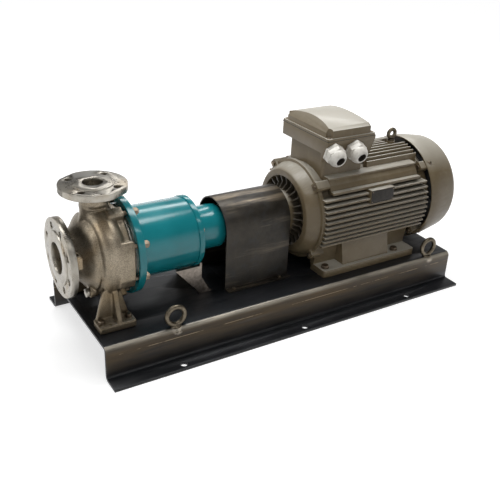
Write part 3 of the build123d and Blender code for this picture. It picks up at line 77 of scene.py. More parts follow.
# Lifting rings: their middle along X, and how far each stands from it
ring_middle = 0.055
ring_reach = 0.420
ring_foot_length = 12.5 * mm
ring_foot_width = 7.5 * mm
ring_extra = 1.3 * mm

# Dish in the motor's front shield, and the fins along its sides
shield_mouth = motor_x + 0.026
dish_depth = 0.030
dish_radius = 0.094
fins_middle_x = motor_x + 0.2625
fins_middle_z = shaft_z + 0.009
fins_half_length = 0.176
fins_half_height = 0.078
fins_root = 0.138
fins_tip = 0.151

# Cowl, and the conical plate that carries the fan's blades
cowl_radius = 0.1576
fan_x = motor_x + 0.472
fan_plate_inner = 0.088
fan_plate_outer = 0.1312
fan_plate_depth = 29 * mm
fan_plate_thickness = 2.5 * mm

# Cable glands: two axes that lean down, either side of gland_middle, through a point of the mouth's face
gland_middle = 0.171
gland_reach = 0.036
gland_face_y = -0.1378
gland_face_z = 0.4305
gland_tilt = math.radians(20)
gland_mouth = 12.2 * mm

# Beads of weld: round the rings' feet, and in the corners of the bracket beside its upright sheet.
# Each row of the bracket has X, the start above the bracket's foot and the end above the base plate
ring_bead = 2.6 * mm
ring_bead_lift = 1.2 * mm
riser_x = pump_x + 0.255
bracket_bead = 2.2 * mm
bracket_bead_inset = 6.5 * mm
bracket_bead_rows = [(riser_x - 1 * mm, 12 * mm, 82 * mm), (riser_x + 7 * mm, 7 * mm, 48 * mm)]

# Angles, in degrees: below flat_angle faces become one, above edge_angle an edge is rounded
flat_angle = 0.4
edge_angle = 28


def put(tree, kind, sockets, out=0, **settings):
    """Add a node and return one of its outputs.

    Sockets maps an input's name or number to a value or to another node's output.
    """
    node = tree.nodes.new(kind)
    for key, value in settings.items():
        setattr(node, key, value)
    for name, value in sockets.items():
        socket = node.inputs[name]
        if hasattr(value, "links"):
            tree.links.new(value, socket)
        elif socket.type == "RGBA":
            socket.default_value = (*value, 1)
        else:
            socket.default_value = value
    return node.outputs[out]


# Camera, floor and lamps
def place_camera():
    yaw, pitch, roll = -0.572587319, 0.471277470, 0.0507580365
    eye = Vector((-1.0555197, -1.5666677, 1.0983667))
    back = Vector((math.sin(yaw) * math.cos(pitch), -math.cos(yaw) * math.cos(pitch), math.sin(pitch)))
    level = Vector((math.cos(yaw), math.sin(yaw), 0))
    upright = back.cross(level)
    right = math.cos(roll) * level + math.sin(roll) * upright
    up = -math.sin(roll) * level + math.cos(roll) * upright
    lens = bpy.data.cameras.new("photo_camera")
    lens.sensor_width = 36
    lens.lens = 53.418
    camera = bpy.data.objects.new("photo_camera", lens)
    bpy.context.scene.collection.objects.link(camera)
    turned = Matrix((right, up, back)).transposed().to_4x4()
    camera.matrix_world = Matrix.Translation(eye) @ turned
    bpy.context.scene.camera = camera


def seen_directly(tree):
    """1 for what the camera, a mirror or glass sees, 0 for light that lands on a surface."""
    path = tree.nodes.new("ShaderNodeLightPath")
    total = path.outputs["Is Camera Ray"]
    for name in ("Is Glossy Ray", "Is Transmission Ray"):
        total = put(tree, "ShaderNodeMath", {0: total, 1: path.outputs[name]}, operation="MAXIMUM")
    return total


def lay_floor():
    """Paper that takes the shadow and pales to white with distance."""
    reach = 40.0
    mesh = bpy.data.meshes.new("studio_floor")
    corners = [(-reach, -reach, 0), (reach, -reach, 0), (reach, reach, 0), (-reach, reach, 0)]
    mesh.from_pydata(corners, [], [(0, 1, 2, 3)])
    floor = bpy.data.objects.new("studio_floor", mesh)
    bpy.context.scene.collection.objects.link(floor)
    material = bpy.data.materials.new("floor_paper")
    material.use_nodes = True
    tree = material.node_tree
    tree.nodes.clear()
    place = tree.nodes.new("ShaderNodeTexCoord").outputs["Object"]
    away = put(tree, "ShaderNodeVectorMath", {0: place}, "Value", operation="LENGTH")
    fade = {"Value": away, "From Min": 0.7, "From Max": 1.8, "To Min": 0.66, "To Max": 0.93}
    paler = put(tree, "ShaderNodeMapRange", fade)
    glow = put(tree, "ShaderNodeMath", {0: seen_directly(tree), 1: paler}, operation="MULTIPLY")
    lift = put(tree, "ShaderNodeEmission", {"Color": (1, 1, 1), "Strength": glow})
    paper = put(tree, "ShaderNodeBsdfDiffuse", {"Color": (0.52, 0.52, 0.52)})
    both = put(tree, "ShaderNodeAddShader", {0: paper, 1: lift})
    leave = tree.nodes.new("ShaderNodeOutputMaterial")
    tree.links.new(both, leave.inputs["Surface"])
    mesh.materials.append(material)


# Name, place, aim, length and width in metres, power in watts
lamps = [
    ("overhead_panel", (0.1, 0.35, 2.3), (0.0, 0.0, 0.3), (2.8, 0.6), 46),
    ("rear_strip", (1.5, 2.1, 2.2), (0.2, 0.0, 0.3), (2.4, 0.5), 26),
    ("front_strip", (-0.4, -1.5, 2.3), (0.0, 0.0, 0.25), (2.6, 0.12), 12),
    ("low_strip", (-0.3, -2.4, 0.95), (0.0, 0.0, 0.25), (3.0, 0.06), 5),
    ("left_fill", (-2.3, 0.5, 1.2), (-0.3, 0.0, 0.25), (1.0, 0.8), 9),
]


def hang_lamp(name, place, aim, size, power):
    light = bpy.data.lights.new(name, "AREA")
    light.shape = "RECTANGLE"
    light.size, light.size_y = size
    light.energy = power
    lamp = bpy.data.objects.new(name, light)
    bpy.context.scene.collection.objects.link(lamp)
    lamp.location = place
    lamp.rotation_euler = (Vector(place) - Vector(aim)).to_track_quat("Z", "Y").to_euler()


def light_studio():
    """A room that is pale at the horizon and darker overhead, lit by a long panel and narrow strips."""
    world = bpy.data.worlds.new("studio")
    bpy.context.scene.world = world
    world.use_nodes = True
    tree = world.node_tree
    sky = tree.nodes["Background"]
    sky.inputs["Color"].default_value = (1, 1, 1, 1)
    direction = tree.nodes.new("ShaderNodeTexCoord").outputs["Generated"]
    upward = put(tree, "ShaderNodeSeparateXYZ", {0: direction}, 2)
    fade = {"Value": upward, "From Min": 0.0, "From Max": 0.32, "To Min": 1.0, "To Max": 0.09}
    strength = put(tree, "ShaderNodeMapRange", fade, interpolation_type="SMOOTHSTEP")
    tree.links.new(strength, sky.inputs["Strength"])
    for lamp in lamps:
        hang_lamp(*lamp)


# Finishes
class Finish:
    """One material: tints are laid over a first colour, one after another."""

    def __init__(self, name, slot, metallic=0.0, coat=0.0, specular=0.5):
        self.slot = slot
        self.material = bpy.data.materials.new(name)
        self.material.use_nodes = True
        self.tree = self.material.node_tree
        self.shader = self.tree.nodes["Principled BSDF"]
        settings = {
            "Metallic": metallic, "Coat Weight": coat, "Coat Roughness": 0.12, "Specular IOR Level": specular,
        }
        for key, value in settings.items():
            self.shader.inputs[key].default_value = value
        self.place = self.tree.nodes.new("ShaderNodeTexCoord").outputs["Object"]
        self.tone = None
        self.height = None

    def put(self, kind, sockets, out=0, **settings):
        return put(self.tree, "ShaderNode" + kind, sockets, out, **settings)

    def math(self, kind, first, second=0.0, third=0.0):
        return self.put("Math", {0: first, 1: second, 2: third}, operation=kind)

    def vector(self, kind, first, second=(0, 0, 0), out=0):
        return self.put("VectorMath", {0: first, 1: second}, out, operation=kind)

    def times(self, first, *others):
        for other in others:
            first = self.math("MULTIPLY", first, other)
        return first

    def off(self, value, middle):
        """How far a value is from a middle one."""
        return self.math("ABSOLUTE", self.math("SUBTRACT", value, middle))

    def range(self, value, low, high, to_low=0.0, to_high=1.0):
        sockets = {"Value": value, "From Min": low, "From Max": high, "To Min": to_low, "To Max": to_high}
        return self.put("MapRange", sockets)

    def within(self, value, limit, soft):
        """1 up to a limit, then down to 0 over a soft edge."""
        return self.range(value, limit, limit + soft, 1.0, 0.0)

    def grain(self, scale, detail=4, roughness=0.55, stretch=(1, 1, 1)):
        """Noise from 0 to 1, drawn out along an axis where stretch is small."""
        place = self.put("Mapping", {"Vector": self.place, "Scale": stretch})
        sockets = {"Vector": place, "Scale": scale, "Detail": detail, "Roughness": roughness}
        return self.put("TexNoise", sockets)

    def mix(self, amount, first, second):
        return self.put("Mix", {0: amount, 6: first, 7: second}, 2, data_type="RGBA")

    def paint(self, amount, dark, light):
        """The first colour, from dark to light."""
        self.tone = self.mix(amount, dark, light)
        self.tree.links.new(self.tone, self.shader.inputs["Base Color"])

    def tint(self, amount, colour):
        """Lay a colour over what is there."""
        self.tone = self.mix(amount, self.tone, colour)
        self.tree.links.new(self.tone, self.shader.inputs["Base Color"])

    def roughness(self, grain, low, high):
        self.tree.links.new(self.range(grain, 0.3, 0.7, low, high), self.shader.inputs["Roughness"])

    def bump(self, grain, strength, distance):
        sockets = {"Height": grain, "Strength": strength, "Distance": distance}
        if self.height is not None:
            sockets["Normal"] = self.height
        self.height = self.put("Bump", sockets)
        self.tree.links.new(self.height, self.shader.inputs["Normal"])

    def axis(self, index):
        return self.put("SeparateXYZ", {0: self.place}, index)

    def facing(self, index):
        """How far the surface faces along one axis, from -1 to 1."""
        normal = self.tree.nodes.new("ShaderNodeNewGeometry").outputs["Normal"]
        return self.put("SeparateXYZ", {0: normal}, index)

    def distance(self, centre, across):
        """Distance from a line through centre: across has 0 along the line."""
        away = self.vector("SUBTRACT", self.place, centre)
        flat = self.vector("MULTIPLY", away, across)
        return self.vector("LENGTH", flat, out="Value")

    def from_ring_feet(self):
        """Distance from the nearest place on the base's edge below a lifting ring."""
        along = self.off(self.axis(0), ring_middle)
        beside = self.math("ABSOLUTE", self.axis(1))
        total = 0.0
        for value, middle in (
            (along, ring_reach), (beside, plate_edge - 4 * mm), (self.axis(2), plate_top - 3 * mm),
        ):
            away = self.math("SUBTRACT", value, middle)
            total = self.math("MULTIPLY_ADD", away, away, total)
        return self.math("SQRT", total)

    def from_gland_axes(self):
        """Distance from the nearer of the two gland axes."""
        aside = self.math("SUBTRACT", self.off(self.axis(0), gland_middle), gland_reach)
        away_y = self.math("SUBTRACT", self.axis(1), gland_face_y)
        away_z = self.math("SUBTRACT", self.axis(2), gland_face_z)
        above = self.times(away_z, math.cos(gland_tilt))
        above = self.math("MULTIPLY_ADD", away_y, -math.sin(gland_tilt), above)
        return self.math("SQRT", self.math("MULTIPLY_ADD", aside, aside, self.times(above, above)))

    def round_brushed(self, upper):
        """Fine turning marks round the shaft line, or round the discharge line where upper is 1."""
        around = []
        for centre, axis in (((0, 0, shaft_z), (1, 0, 0)), ((pump_x, 0, 0), (0, 0, 1))):
            away = self.vector("SUBTRACT", self.place, centre)
            around.append(self.vector("CROSS_PRODUCT", axis, away))
        pick = self.put("Mix", {0: upper, 4: around[0], 5: around[1]}, 1, data_type="VECTOR")
        self.tree.links.new(self.vector("NORMALIZE", pick), self.shader.inputs["Tangent"])
        self.shader.inputs["Anisotropic"].default_value = 0.75


def base_coating():
    """Black sheet with brown sides, a pale band along the bend that is a painted highlight mixed with rubbed
    wear, and ground at the ring feet.
    """
    finish = Finish("worn_black_plate", "base_black", metallic=0.35)
    streaks = finish.grain(60, 5, 0.6, (0.12, 1, 1))
    fine = finish.grain(420, 3)
    cloud = finish.grain(7, 4, 0.6)
    finish.paint(finish.range(cloud, 0.35, 0.7), (0.008, 0.009, 0.011), (0.020, 0.021, 0.024))
    side = finish.math("ABSOLUTE", finish.facing(1))
    web = finish.range(side, 0.55, 0.95)
    brown = finish.mix(finish.range(streaks, 0.3, 0.7), (0.016, 0.010, 0.004), (0.078, 0.050, 0.021))
    above_lip = finish.range(finish.axis(2), 12 * mm, 60 * mm, 0.05, 1.0)
    finish.tint(finish.times(web, above_lip), brown)
    # Painted highlight mixed with rubbed wear: a pale tan band on the rounded bend, picked by which way the
    # surface faces.
    bend = finish.within(finish.off(side, 0.6), 0.15, 0.25)
    high = finish.range(finish.axis(2), 70 * mm, 80 * mm)
    rubbed_wear_and_sheen = finish.range(streaks, 0.30, 0.62, 0.35, 1.0)
    finish.tint(finish.times(bend, high, rubbed_wear_and_sheen), (0.44, 0.395, 0.32))
    line = finish.within(finish.off(finish.axis(2), 66 * mm), 0.4 * mm, 0.8 * mm)
    broken = finish.range(finish.grain(30, 3, 0.6, (0.6, 1, 1)), 0.46, 0.56)
    finish.tint(finish.times(line, web, broken), (0.30, 0.22, 0.13))
    ground = finish.within(finish.from_ring_feet(), 8 * mm, 9 * mm)
    patchy = finish.range(finish.grain(90, 3), 0.40, 0.55)
    finish.tint(finish.times(ground, patchy), (0.52, 0.46, 0.37))
    scratch = finish.grain(26, 2, 0.5, (0.05, 1.4, 1))
    finish.tint(finish.range(scratch, 0.66, 0.72, 0.0, 0.35), (0.10, 0.095, 0.09))
    finish.roughness(streaks, 0.30, 0.5)
    finish.bump(fine, 0.12, 0.3 * mm)
    finish.bump(streaks, 0.10, 0.6 * mm)
    return finish


def cast_steel():
    """Blasted cast metal: speckled, with warm patches, painted shade that makes it browner low down and on
    faces turned down, and a painted highlight on faces turned up.
    """
    finish = Finish("blasted_cast_stainless", "cast_stainless", metallic=0.8)
    cloud = finish.grain(9, 5, 0.62)
    warmth = finish.grain(5.5, 3, 0.5)
    grains = finish.grain(700, 2, 0.5)
    lumps = finish.grain(90, 3, 0.5)
    blasted = finish.grain(330, 2, 0.6)
    finish.paint(finish.range(cloud, 0.35, 0.68), (0.185, 0.150, 0.102), (0.49, 0.42, 0.32))
    finish.tint(finish.range(warmth, 0.50, 0.68, 0.0, 0.7), (0.50, 0.33, 0.15))
    finish.tint(finish.range(grains, 0.35, 0.75, 0.0, 0.35), (0.10, 0.085, 0.065))
    finish.tint(finish.range(blasted, 0.42, 0.66, 0.0, 0.45), (0.075, 0.06, 0.04))
    # Painted shade: darker brown low down on the casing, fading out above the shaft line.
    low = finish.range(finish.axis(2), plate_top + 0.03, shaft_z + 0.05, 0.62, 0.0)
    finish.tint(low, (0.105, 0.078, 0.044))
    # Painted shade on the faces that turn downwards.
    under = finish.range(finish.facing(2), -0.1, -0.8, 0.0, 0.5)
    finish.tint(under, (0.07, 0.055, 0.035))
    # Painted highlight: pale tan on the faces that turn upwards, broken up by the lumps.
    top = finish.range(finish.facing(2), 0.86, 0.97, 0.0, 0.55)
    finish.tint(finish.times(top, finish.range(lumps, 0.35, 0.6)), (0.66, 0.60, 0.50))
    finish.roughness(lumps, 0.34, 0.50)
    finish.bump(lumps, 0.30, 0.9 * mm)
    finish.bump(blasted, 0.30, 0.4 * mm)
    finish.bump(grains, 0.35, 0.25 * mm)
    return finish


def turned_steel():
    """The two flanges, with rings from turning."""
    finish = Finish("turned_stainless", "stainless", metallic=1.0)
    from_suction = finish.distance((0, 0, shaft_z), (0, 1, 1))
    from_discharge = finish.distance((pump_x, 0, 0), (1, 1, 0))
    upper = finish.range(finish.axis(2), discharge_back - 2 * mm, discharge_back + 1 * mm)
    radius = finish.put("Mix", {0: upper, 2: from_suction, 3: from_discharge})
    finish.round_brushed(upper)
    rings_per_metre = 610.0
    ring = finish.math("FRACT", finish.times(radius, rings_per_metre))
    cloud = finish.grain(28, 4, 0.6)
    smear = finish.grain(16, 3, 0.5)
    finish.paint(finish.range(cloud, 0.3, 0.7), (0.27, 0.245, 0.205), (0.46, 0.435, 0.385))
    finish.tint(finish.range(smear, 0.55, 0.72, 0.0, 0.6), (0.34, 0.265, 0.175))
    finish.tint(finish.range(ring, 0.0, 1.0, 0.0, 0.22), (0.18, 0.17, 0.15))
    finish.roughness(cloud, 0.24, 0.36)
    finish.bump(finish.grain(500, 2), 0.06, 0.1 * mm)
    return finish


def gloss_enamel():
    finish = Finish("teal_enamel", "teal_paint", coat=0.3, specular=0.36)
    cloud = finish.grain(12, 4, 0.55)
    peel = finish.grain(260, 2, 0.45)
    fleck = finish.grain(650, 2, 0.5)
    finish.paint(finish.range(cloud, 0.3, 0.7), (0.004, 0.175, 0.200), (0.008, 0.225, 0.255))
    finish.tint(finish.range(fleck, 0.60, 0.78, 0.0, 0.25), (0.02, 0.32, 0.35))
    finish.roughness(cloud, 0.18, 0.27)
    finish.bump(peel, 0.10, 0.35 * mm)
    return finish


def rolled_scale():
    """Dark scale of a rolled sheet, paler where it faces up: a painted sheen mixed with rubbed wear."""
    finish = Finish("rolled_scale", "guard_steel", metallic=0.55)
    cloud = finish.grain(11, 6, 0.68)
    patch = finish.grain(34, 5, 0.7)
    drag = finish.grain(45, 4, 0.6, (0.10, 1, 1))
    finish.paint(finish.range(cloud, 0.32, 0.68), (0.012, 0.010, 0.0075), (0.044, 0.037, 0.028))
    finish.tint(finish.range(patch, 0.5, 0.75, 0.0, 0.55), (0.040, 0.042, 0.046))
    finish.tint(finish.range(drag, 0.58, 0.72, 0.0, 0.45), (0.16, 0.13, 0.095))
    # Painted sheen mixed with rubbed wear on the faces that turn upwards.
    crown = finish.range(finish.facing(2), 0.45, 0.95)
    rubbed_wear_and_sheen = finish.times(crown, finish.range(drag, 0.46, 0.60), 0.7)
    finish.tint(rubbed_wear_and_sheen, (0.24, 0.19, 0.13))
    finish.roughness(patch, 0.30, 0.48)
    finish.bump(patch, 0.12, 0.5 * mm)
    return finish


def stone_paint():
    """The motor's paint: a painted highlight mixed with settled dust on what faces up, and painted shade in
    the shield's dish and between the fins.
    """
    finish = Finish("stone_grey_paint", "motor_grey", coat=0.12, specular=0.38)
    cloud = finish.grain(6, 4, 0.6)
    dust = finish.grain(38, 5, 0.65)
    cast = finish.grain(170, 3, 0.5)
    fine = finish.grain(640, 2, 0.5)
    finish.paint(finish.range(cloud, 0.3, 0.7), (0.120, 0.088, 0.046), (0.168, 0.130, 0.077))
    finish.tint(finish.range(dust, 0.5, 0.75, 0.0, 0.32), (0.25, 0.205, 0.14))
    # Painted highlight mixed with settled dust: paler on the faces that turn upwards.
    finish.tint(finish.range(finish.facing(2), 0.55, 0.98, 0.0, 0.62), (0.56, 0.54, 0.475))
    from_axis = finish.distance((0, 0, shaft_z), (0, 1, 1))
    # Painted shade inside the hollow of the front shield's dish.
    behind_mouth = finish.range(finish.axis(0), shield_mouth, shield_mouth + 12 * mm)
    before_floor = finish.within(finish.axis(0), shield_mouth + dish_depth, 4 * mm)
    in_dish = finish.within(from_axis, dish_radius, 6 * mm)
    finish.tint(finish.times(behind_mouth, before_floor, in_dish), (0.045, 0.036, 0.024))
    # Painted shade between the fins, darker towards their roots.
    beside = finish.within(finish.off(finish.axis(2), fins_middle_z), fins_half_height, 3 * mm)
    along = finish.within(finish.off(finish.axis(0), fins_middle_x), fins_half_length, 3.5 * mm)
    sunk = finish.range(from_axis, fins_root, fins_tip, 0.85, 0.0)
    finish.tint(finish.times(beside, along, sunk), (0.050, 0.038, 0.022))
    finish.roughness(dust, 0.34, 0.48)
    finish.bump(cast, 0.16, 0.5 * mm)
    finish.bump(fine, 0.10, 0.15 * mm)
    return finish


def gland_nylon():
    """Pale plastic, with painted shade inside the two mouths."""
    finish = Finish("gland_plastic", "gland_plastic")
    cloud = finish.grain(90, 4, 0.6)
    finish.paint(finish.range(cloud, 0.3, 0.7), (0.60, 0.57, 0.51), (0.76, 0.73, 0.67))
    # Painted shade: a dark disc inside each gland's mouth.
    finish.tint(finish.within(finish.from_gland_axes(), gland_mouth, 0.5 * mm), (0.045, 0.038, 0.030))
    finish.roughness(cloud, 0.26, 0.40)
    finish.bump(finish.grain(720, 2), 0.15, 0.2 * mm)
    return finish


def plated_steel(name, slot, dark, light, low=0.25, high=0.42):
    finish = Finish(name, slot, metallic=1.0)
    cloud = finish.grain(120, 4, 0.6)
    finish.paint(finish.range(cloud, 0.3, 0.7), dark, light)
    finish.roughness(cloud, low, high)
    finish.bump(finish.grain(900, 2), 0.12, 0.1 * mm)
    return finish


def plain_stuff(name, slot, dark, light, rough, scale=60, metallic=0.0):
    finish = Finish(name, slot, metallic=metallic)
    cloud = finish.grain(scale, 4, 0.6)
    finish.paint(finish.range(cloud, 0.3, 0.7), dark, light)
    finish.roughness(cloud, rough - 0.06, rough + 0.08)
    finish.bump(finish.grain(scale * 8, 2), 0.15, 0.2 * mm)
    return finish


# Name, slot, dark and light colour, and least and most roughness where they aren't the usual ones
plated_rows = [
    ("ring_steel", "eye_steel", (0.085, 0.070, 0.050), (0.20, 0.17, 0.125), 0.30, 0.46),
    ("bracket_sheet", "bracket_steel", (0.16, 0.135, 0.115), (0.33, 0.29, 0.25), 0.3, 0.46),
    ("zinc_plate", "zinc_steel", (0.12, 0.095, 0.068), (0.27, 0.22, 0.165), 0.34, 0.52),
    ("magnet_nickel", "magnet", (0.25, 0.25, 0.25), (0.40, 0.40, 0.39)),
    ("ground_steel", "bearing_steel", (0.50, 0.50, 0.50), (0.68, 0.68, 0.68), 0.1, 0.2),
    ("turned_shaft", "shaft_steel", (0.36, 0.35, 0.34), (0.55, 0.54, 0.52)),
    ("hub_iron", "hub_iron", (0.08, 0.08, 0.08), (0.17, 0.17, 0.165), 0.35, 0.5),
    ("core_sheets", "core_steel", (0.10, 0.10, 0.10), (0.20, 0.20, 0.20), 0.4, 0.5),
    ("winding_copper", "winding_copper", (0.45, 0.16, 0.06), (0.62, 0.26, 0.11)),
]

# Name, slot, dark and light colour, roughness, and for the last one its own scale of grain and sheen
# of metal
plain_rows = [
    ("lapped_carbide", "carbide", (0.03, 0.03, 0.03), (0.06, 0.06, 0.065), 0.18),
    ("spider_rubber", "spider_red", (0.25, 0.03, 0.025), (0.36, 0.05, 0.04), 0.5),
    ("seal_rubber", "seal_rubber", (0.012, 0.012, 0.012), (0.03, 0.03, 0.03), 0.55),
    ("gasket_sheet", "gasket_grey", (0.022, 0.019, 0.016), (0.045, 0.040, 0.034), 0.7),
    ("fan_plastic", "fan_plastic", (0.015, 0.015, 0.016), (0.03, 0.03, 0.03), 0.45),
    ("block_plastic", "block_plastic", (0.20, 0.08, 0.03), (0.30, 0.12, 0.05), 0.45),
    ("plate_lacquer", "plate_dark", (0.014, 0.012, 0.010), (0.040, 0.035, 0.030), 0.62, 80, 0.4),
]


def make_finishes():
    made = [base_coating(), cast_steel(), turned_steel(), gloss_enamel(), rolled_scale(), stone_paint()]
    made.append(gland_nylon())
    made += [plated_steel(*row) for row in plated_rows]
    made += [plain_stuff(*row) for row in plain_rows]
    return {finish.slot: finish for finish in made}


finishes = make_finishes()
slot_of = {part["node"]: part["material_slot"] for part in frame["record"]["subparts"]}


def dress(piece, slot):
    piece.data.materials.clear()
    piece.data.materials.append(finishes[slot].material)


# Pieces that stand for a CAD node
def merged(node):
    shape = bmesh.new()
    shape.from_mesh(nodes[node].data)
    bmesh.ops.remove_doubles(shape, verts=shape.verts, dist=0.002 * mm)
    return shape


def as_piece(shape, name, modifiers=()):
    """A finished piece from a bmesh and a list of (modifier kind, settings)."""
    mesh = bpy.data.meshes.new(name)
    shape.to_mesh(mesh)
    shape.free()
    piece = bpy.data.objects.new(name, mesh)
    bpy.context.scene.collection.objects.link(piece)
    for kind, settings in modifiers:
        modifier = piece.modifiers.new(kind.lower(), kind)
        for key, value in settings.items():
            setattr(modifier, key, value)
    if modifiers:
        view = bpy.context.evaluated_depsgraph_get()
        piece.data = bpy.data.meshes.new_from_object(piece.evaluated_get(view))
        piece.data.name = name
        piece.modifiers.clear()
        bpy.data.meshes.remove(mesh)
    return piece


def shade(piece, angle):
    """Smooth shading, with edges kept sharp above an angle in degrees."""
    for polygon in piece.data.polygons:
        polygon.use_smooth = True
    piece.data.set_sharp_from_angle(angle=math.radians(angle))


def bevelled(shape, name, width):
    """A piece with its edges rounded a little."""
    flat = math.radians(flat_angle)
    bmesh.ops.dissolve_limit(shape, angle_limit=flat, verts=shape.verts, edges=shape.edges)
    bevel = dict(width=width, segments=2, limit_method="ANGLE", angle_limit=math.radians(edge_angle))
    piece = as_piece(shape, name, [("BEVEL", bevel)])
    shade(piece, 35)
    return piece


# Nodes whose edges are rounded, and how wide the rounding is
edge_widths = {
    "base_frame": 1.2 * mm, "lantern": 1.2 * mm, "bearing_housing": 1.2 * mm,
    "support_bracket": 0.8 * mm, "coupling_guard": 0.8 * mm, "motor_frame": 1.3 * mm,
    "drive_end_shield": 1.2 * mm, "terminal_box": 1.5 * mm, "terminal_lid": 1.8 * mm,
    "fan_end_shield": 1.0 * mm, "cable_gland_nuts": 0.9 * mm, "cable_gland_bodies": 0.9 * mm,
    "fan_cowl": 0.7 * mm, "casing_cover": 0.6 * mm, "drain_plug": 0.6 * mm,
    "pump_coupling_hub": 1.0 * mm, "motor_coupling_hub": 1.0 * mm, "rating_plate": 0.3 * mm,
}


def broken_edges():
    """The nodes' own shapes, without their knife-sharp edges."""
    for node, width in edge_widths.items():
        piece = bevelled(merged(node), node + "_finished", width)
        dress(piece, slot_of[node])
        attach(piece, nodes[node]["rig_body"])
        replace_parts(piece, node)


def cut_off(node, cuts):
    """The node's shape without what lies beyond each plane (place, outward direction), closed again."""
    shape = merged(node)
    for place, normal in cuts:
        made = bmesh.ops.bisect_plane(
            shape, geom=shape.verts[:] + shape.edges[:] + shape.faces[:], dist=0.001 * mm,
            plane_co=place, plane_no=normal, clear_outer=True,
        )
        rim = [edge for edge in made["geom_cut"] if isinstance(edge, bmesh.types.BMEdge)]
        bmesh.ops.triangle_fill(shape, use_beauty=True, edges=rim)
    bmesh.ops.recalc_face_normals(shape, faces=shape.faces)
    return shape


def cast_casing():
    """The casing: a sand-cast body with soft edges, and its two flanges turned crisp."""
    suction, discharge = (suction_back, 0, 0), (0, 0, discharge_back)
    body = cut_off("volute_casing", [(suction, (-1, 0, 0)), (discharge, (0, 0, 1))])
    remesh = dict(mode="VOXEL", voxel_size=2.4 * mm, adaptivity=0.0)
    smooth = dict(factor=0.5, iterations=2)
    piece = as_piece(body, "casing_casting", [("REMESH", remesh), ("SMOOTH", smooth)])
    for polygon in piece.data.polygons:
        polygon.use_smooth = True
    dress(piece, "cast_stainless")
    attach(piece, "static")
    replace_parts(piece, "volute_casing")
    for name, place, inwards in (
        ("suction_flange_turned", suction, (1, 0, 0)), ("discharge_flange_turned", discharge, (0, 0, -1)),
    ):
        flange = bevelled(cut_off("volute_casing", [(place, inwards)]), name, 0.8 * mm)
        dress(flange, "stainless")
        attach(flange, "static")


def lifting_rings():
    """The welded rings, from bar that is a little stouter than the solid's."""
    shape = merged("lifting_eyes")
    shape.normal_update()
    moves = [(vertex, vertex.normal * ring_extra) for vertex in shape.verts]
    for vertex, move in moves:
        vertex.co += move
    piece = as_piece(shape, "lifting_rings_stout")
    shade(piece, 50)
    dress(piece, "eye_steel")
    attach(piece, "static")
    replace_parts(piece, "lifting_eyes")


def fan_with_shroud():
    """The fan with the conical plate that carries its blades."""
    shape = merged("cooling_fan")
    front, back = fan_x, fan_x + fan_plate_depth
    profile = [
        (front, fan_plate_inner), (front + fan_plate_thickness, fan_plate_inner),
        (back + fan_plate_thickness, fan_plate_outer), (back, fan_plate_outer),
    ]
    steps = 72
    rings = []
    for number in range(steps):
        turn = math.tau * number / steps
        ring = [shape.verts.new((x, r * math.cos(turn), shaft_z + r * math.sin(turn))) for x, r in profile]
        rings.append(ring)
    for number in range(steps):
        here, there = rings[number], rings[(number + 1) % steps]
        for corner in range(4):
            other = (corner + 1) % 4
            shape.faces.new((here[corner], here[other], there[other], there[corner]))
    bmesh.ops.recalc_face_normals(shape, faces=shape.faces)
    piece = as_piece(shape, "fan_with_shroud")
    shade(piece, 35)
    dress(piece, "fan_plastic")
    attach(piece, "motor_rotor")
    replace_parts(piece, "cooling_fan")


# Repeated pieces: one shape, put in each of its places
def new_tree(name, sizes):
    """A tree with a geometry input and named sizes, and the outputs of its input node."""
    tree = bpy.data.node_groups.new(name, "GeometryNodeTree")
    tree.interface.new_socket("Geometry", in_out="INPUT", socket_type="NodeSocketGeometry")
    for label in sizes:
        tree.interface.new_socket(label, in_out="INPUT", socket_type="NodeSocketFloat")
    tree.interface.new_socket("Geometry", in_out="OUTPUT", socket_type="NodeSocketGeometry")
    return tree, tree.nodes.new("NodeGroupInput").outputs


def grown(tree, kind, sockets, **settings):
    return put(tree, "GeometryNode" + kind, sockets, **settings)


def work_out(tree, kind, first, second=0.0):
    return put(tree, "ShaderNodeMath", {0: first, 1: second}, operation=kind)


def vector_of(tree, *parts):
    return put(tree, "ShaderNodeCombineXYZ", dict(enumerate(parts)))


def attribute(tree, name):
    return grown(tree, "InputNamedAttribute", {"Name": name}, data_type="FLOAT_VECTOR")


def raised(tree, mesh, height):
    return grown(tree, "Transform", {"Geometry": mesh, "Translation": vector_of(tree, 0.0, 0.0, height)})


def cylinder(tree, sides, radius, depth):
    return grown(tree, "MeshCylinder", {"Vertices": sides, "Radius": radius, "Depth": depth})


def combined(tree, kind, meshes, socket=0, **settings):
    """Several meshes through one node that takes them all."""
    node = tree.nodes.new("GeometryNode" + kind)
    for key, value in settings.items():
        setattr(node, key, value)
    for mesh in meshes:
        tree.links.new(mesh, node.inputs[socket])
    return node


def end_tree(tree, mesh, material):
    """Real geometry with its material, as the last two steps."""
    real = grown(tree, "RealizeInstances", {"Geometry": mesh})
    painted = grown(tree, "SetMaterial", {"Geometry": real, "Material": material})
    leave = tree.nodes.new("NodeGroupOutput")
    tree.links.new(painted, leave.inputs[0])


def spread(tree, points, instance, scale):
    """Put an instance on each point, its +Z along the point's own direction."""
    along = put(tree, "FunctionNodeAlignRotationToVector", {"Vector": attribute(tree, "out")}, axis="Z")
    sockets = {"Points": points, "Instance": instance, "Rotation": along, "Scale": attribute(tree, scale)}
    return grown(tree, "InstanceOnPoints", sockets)


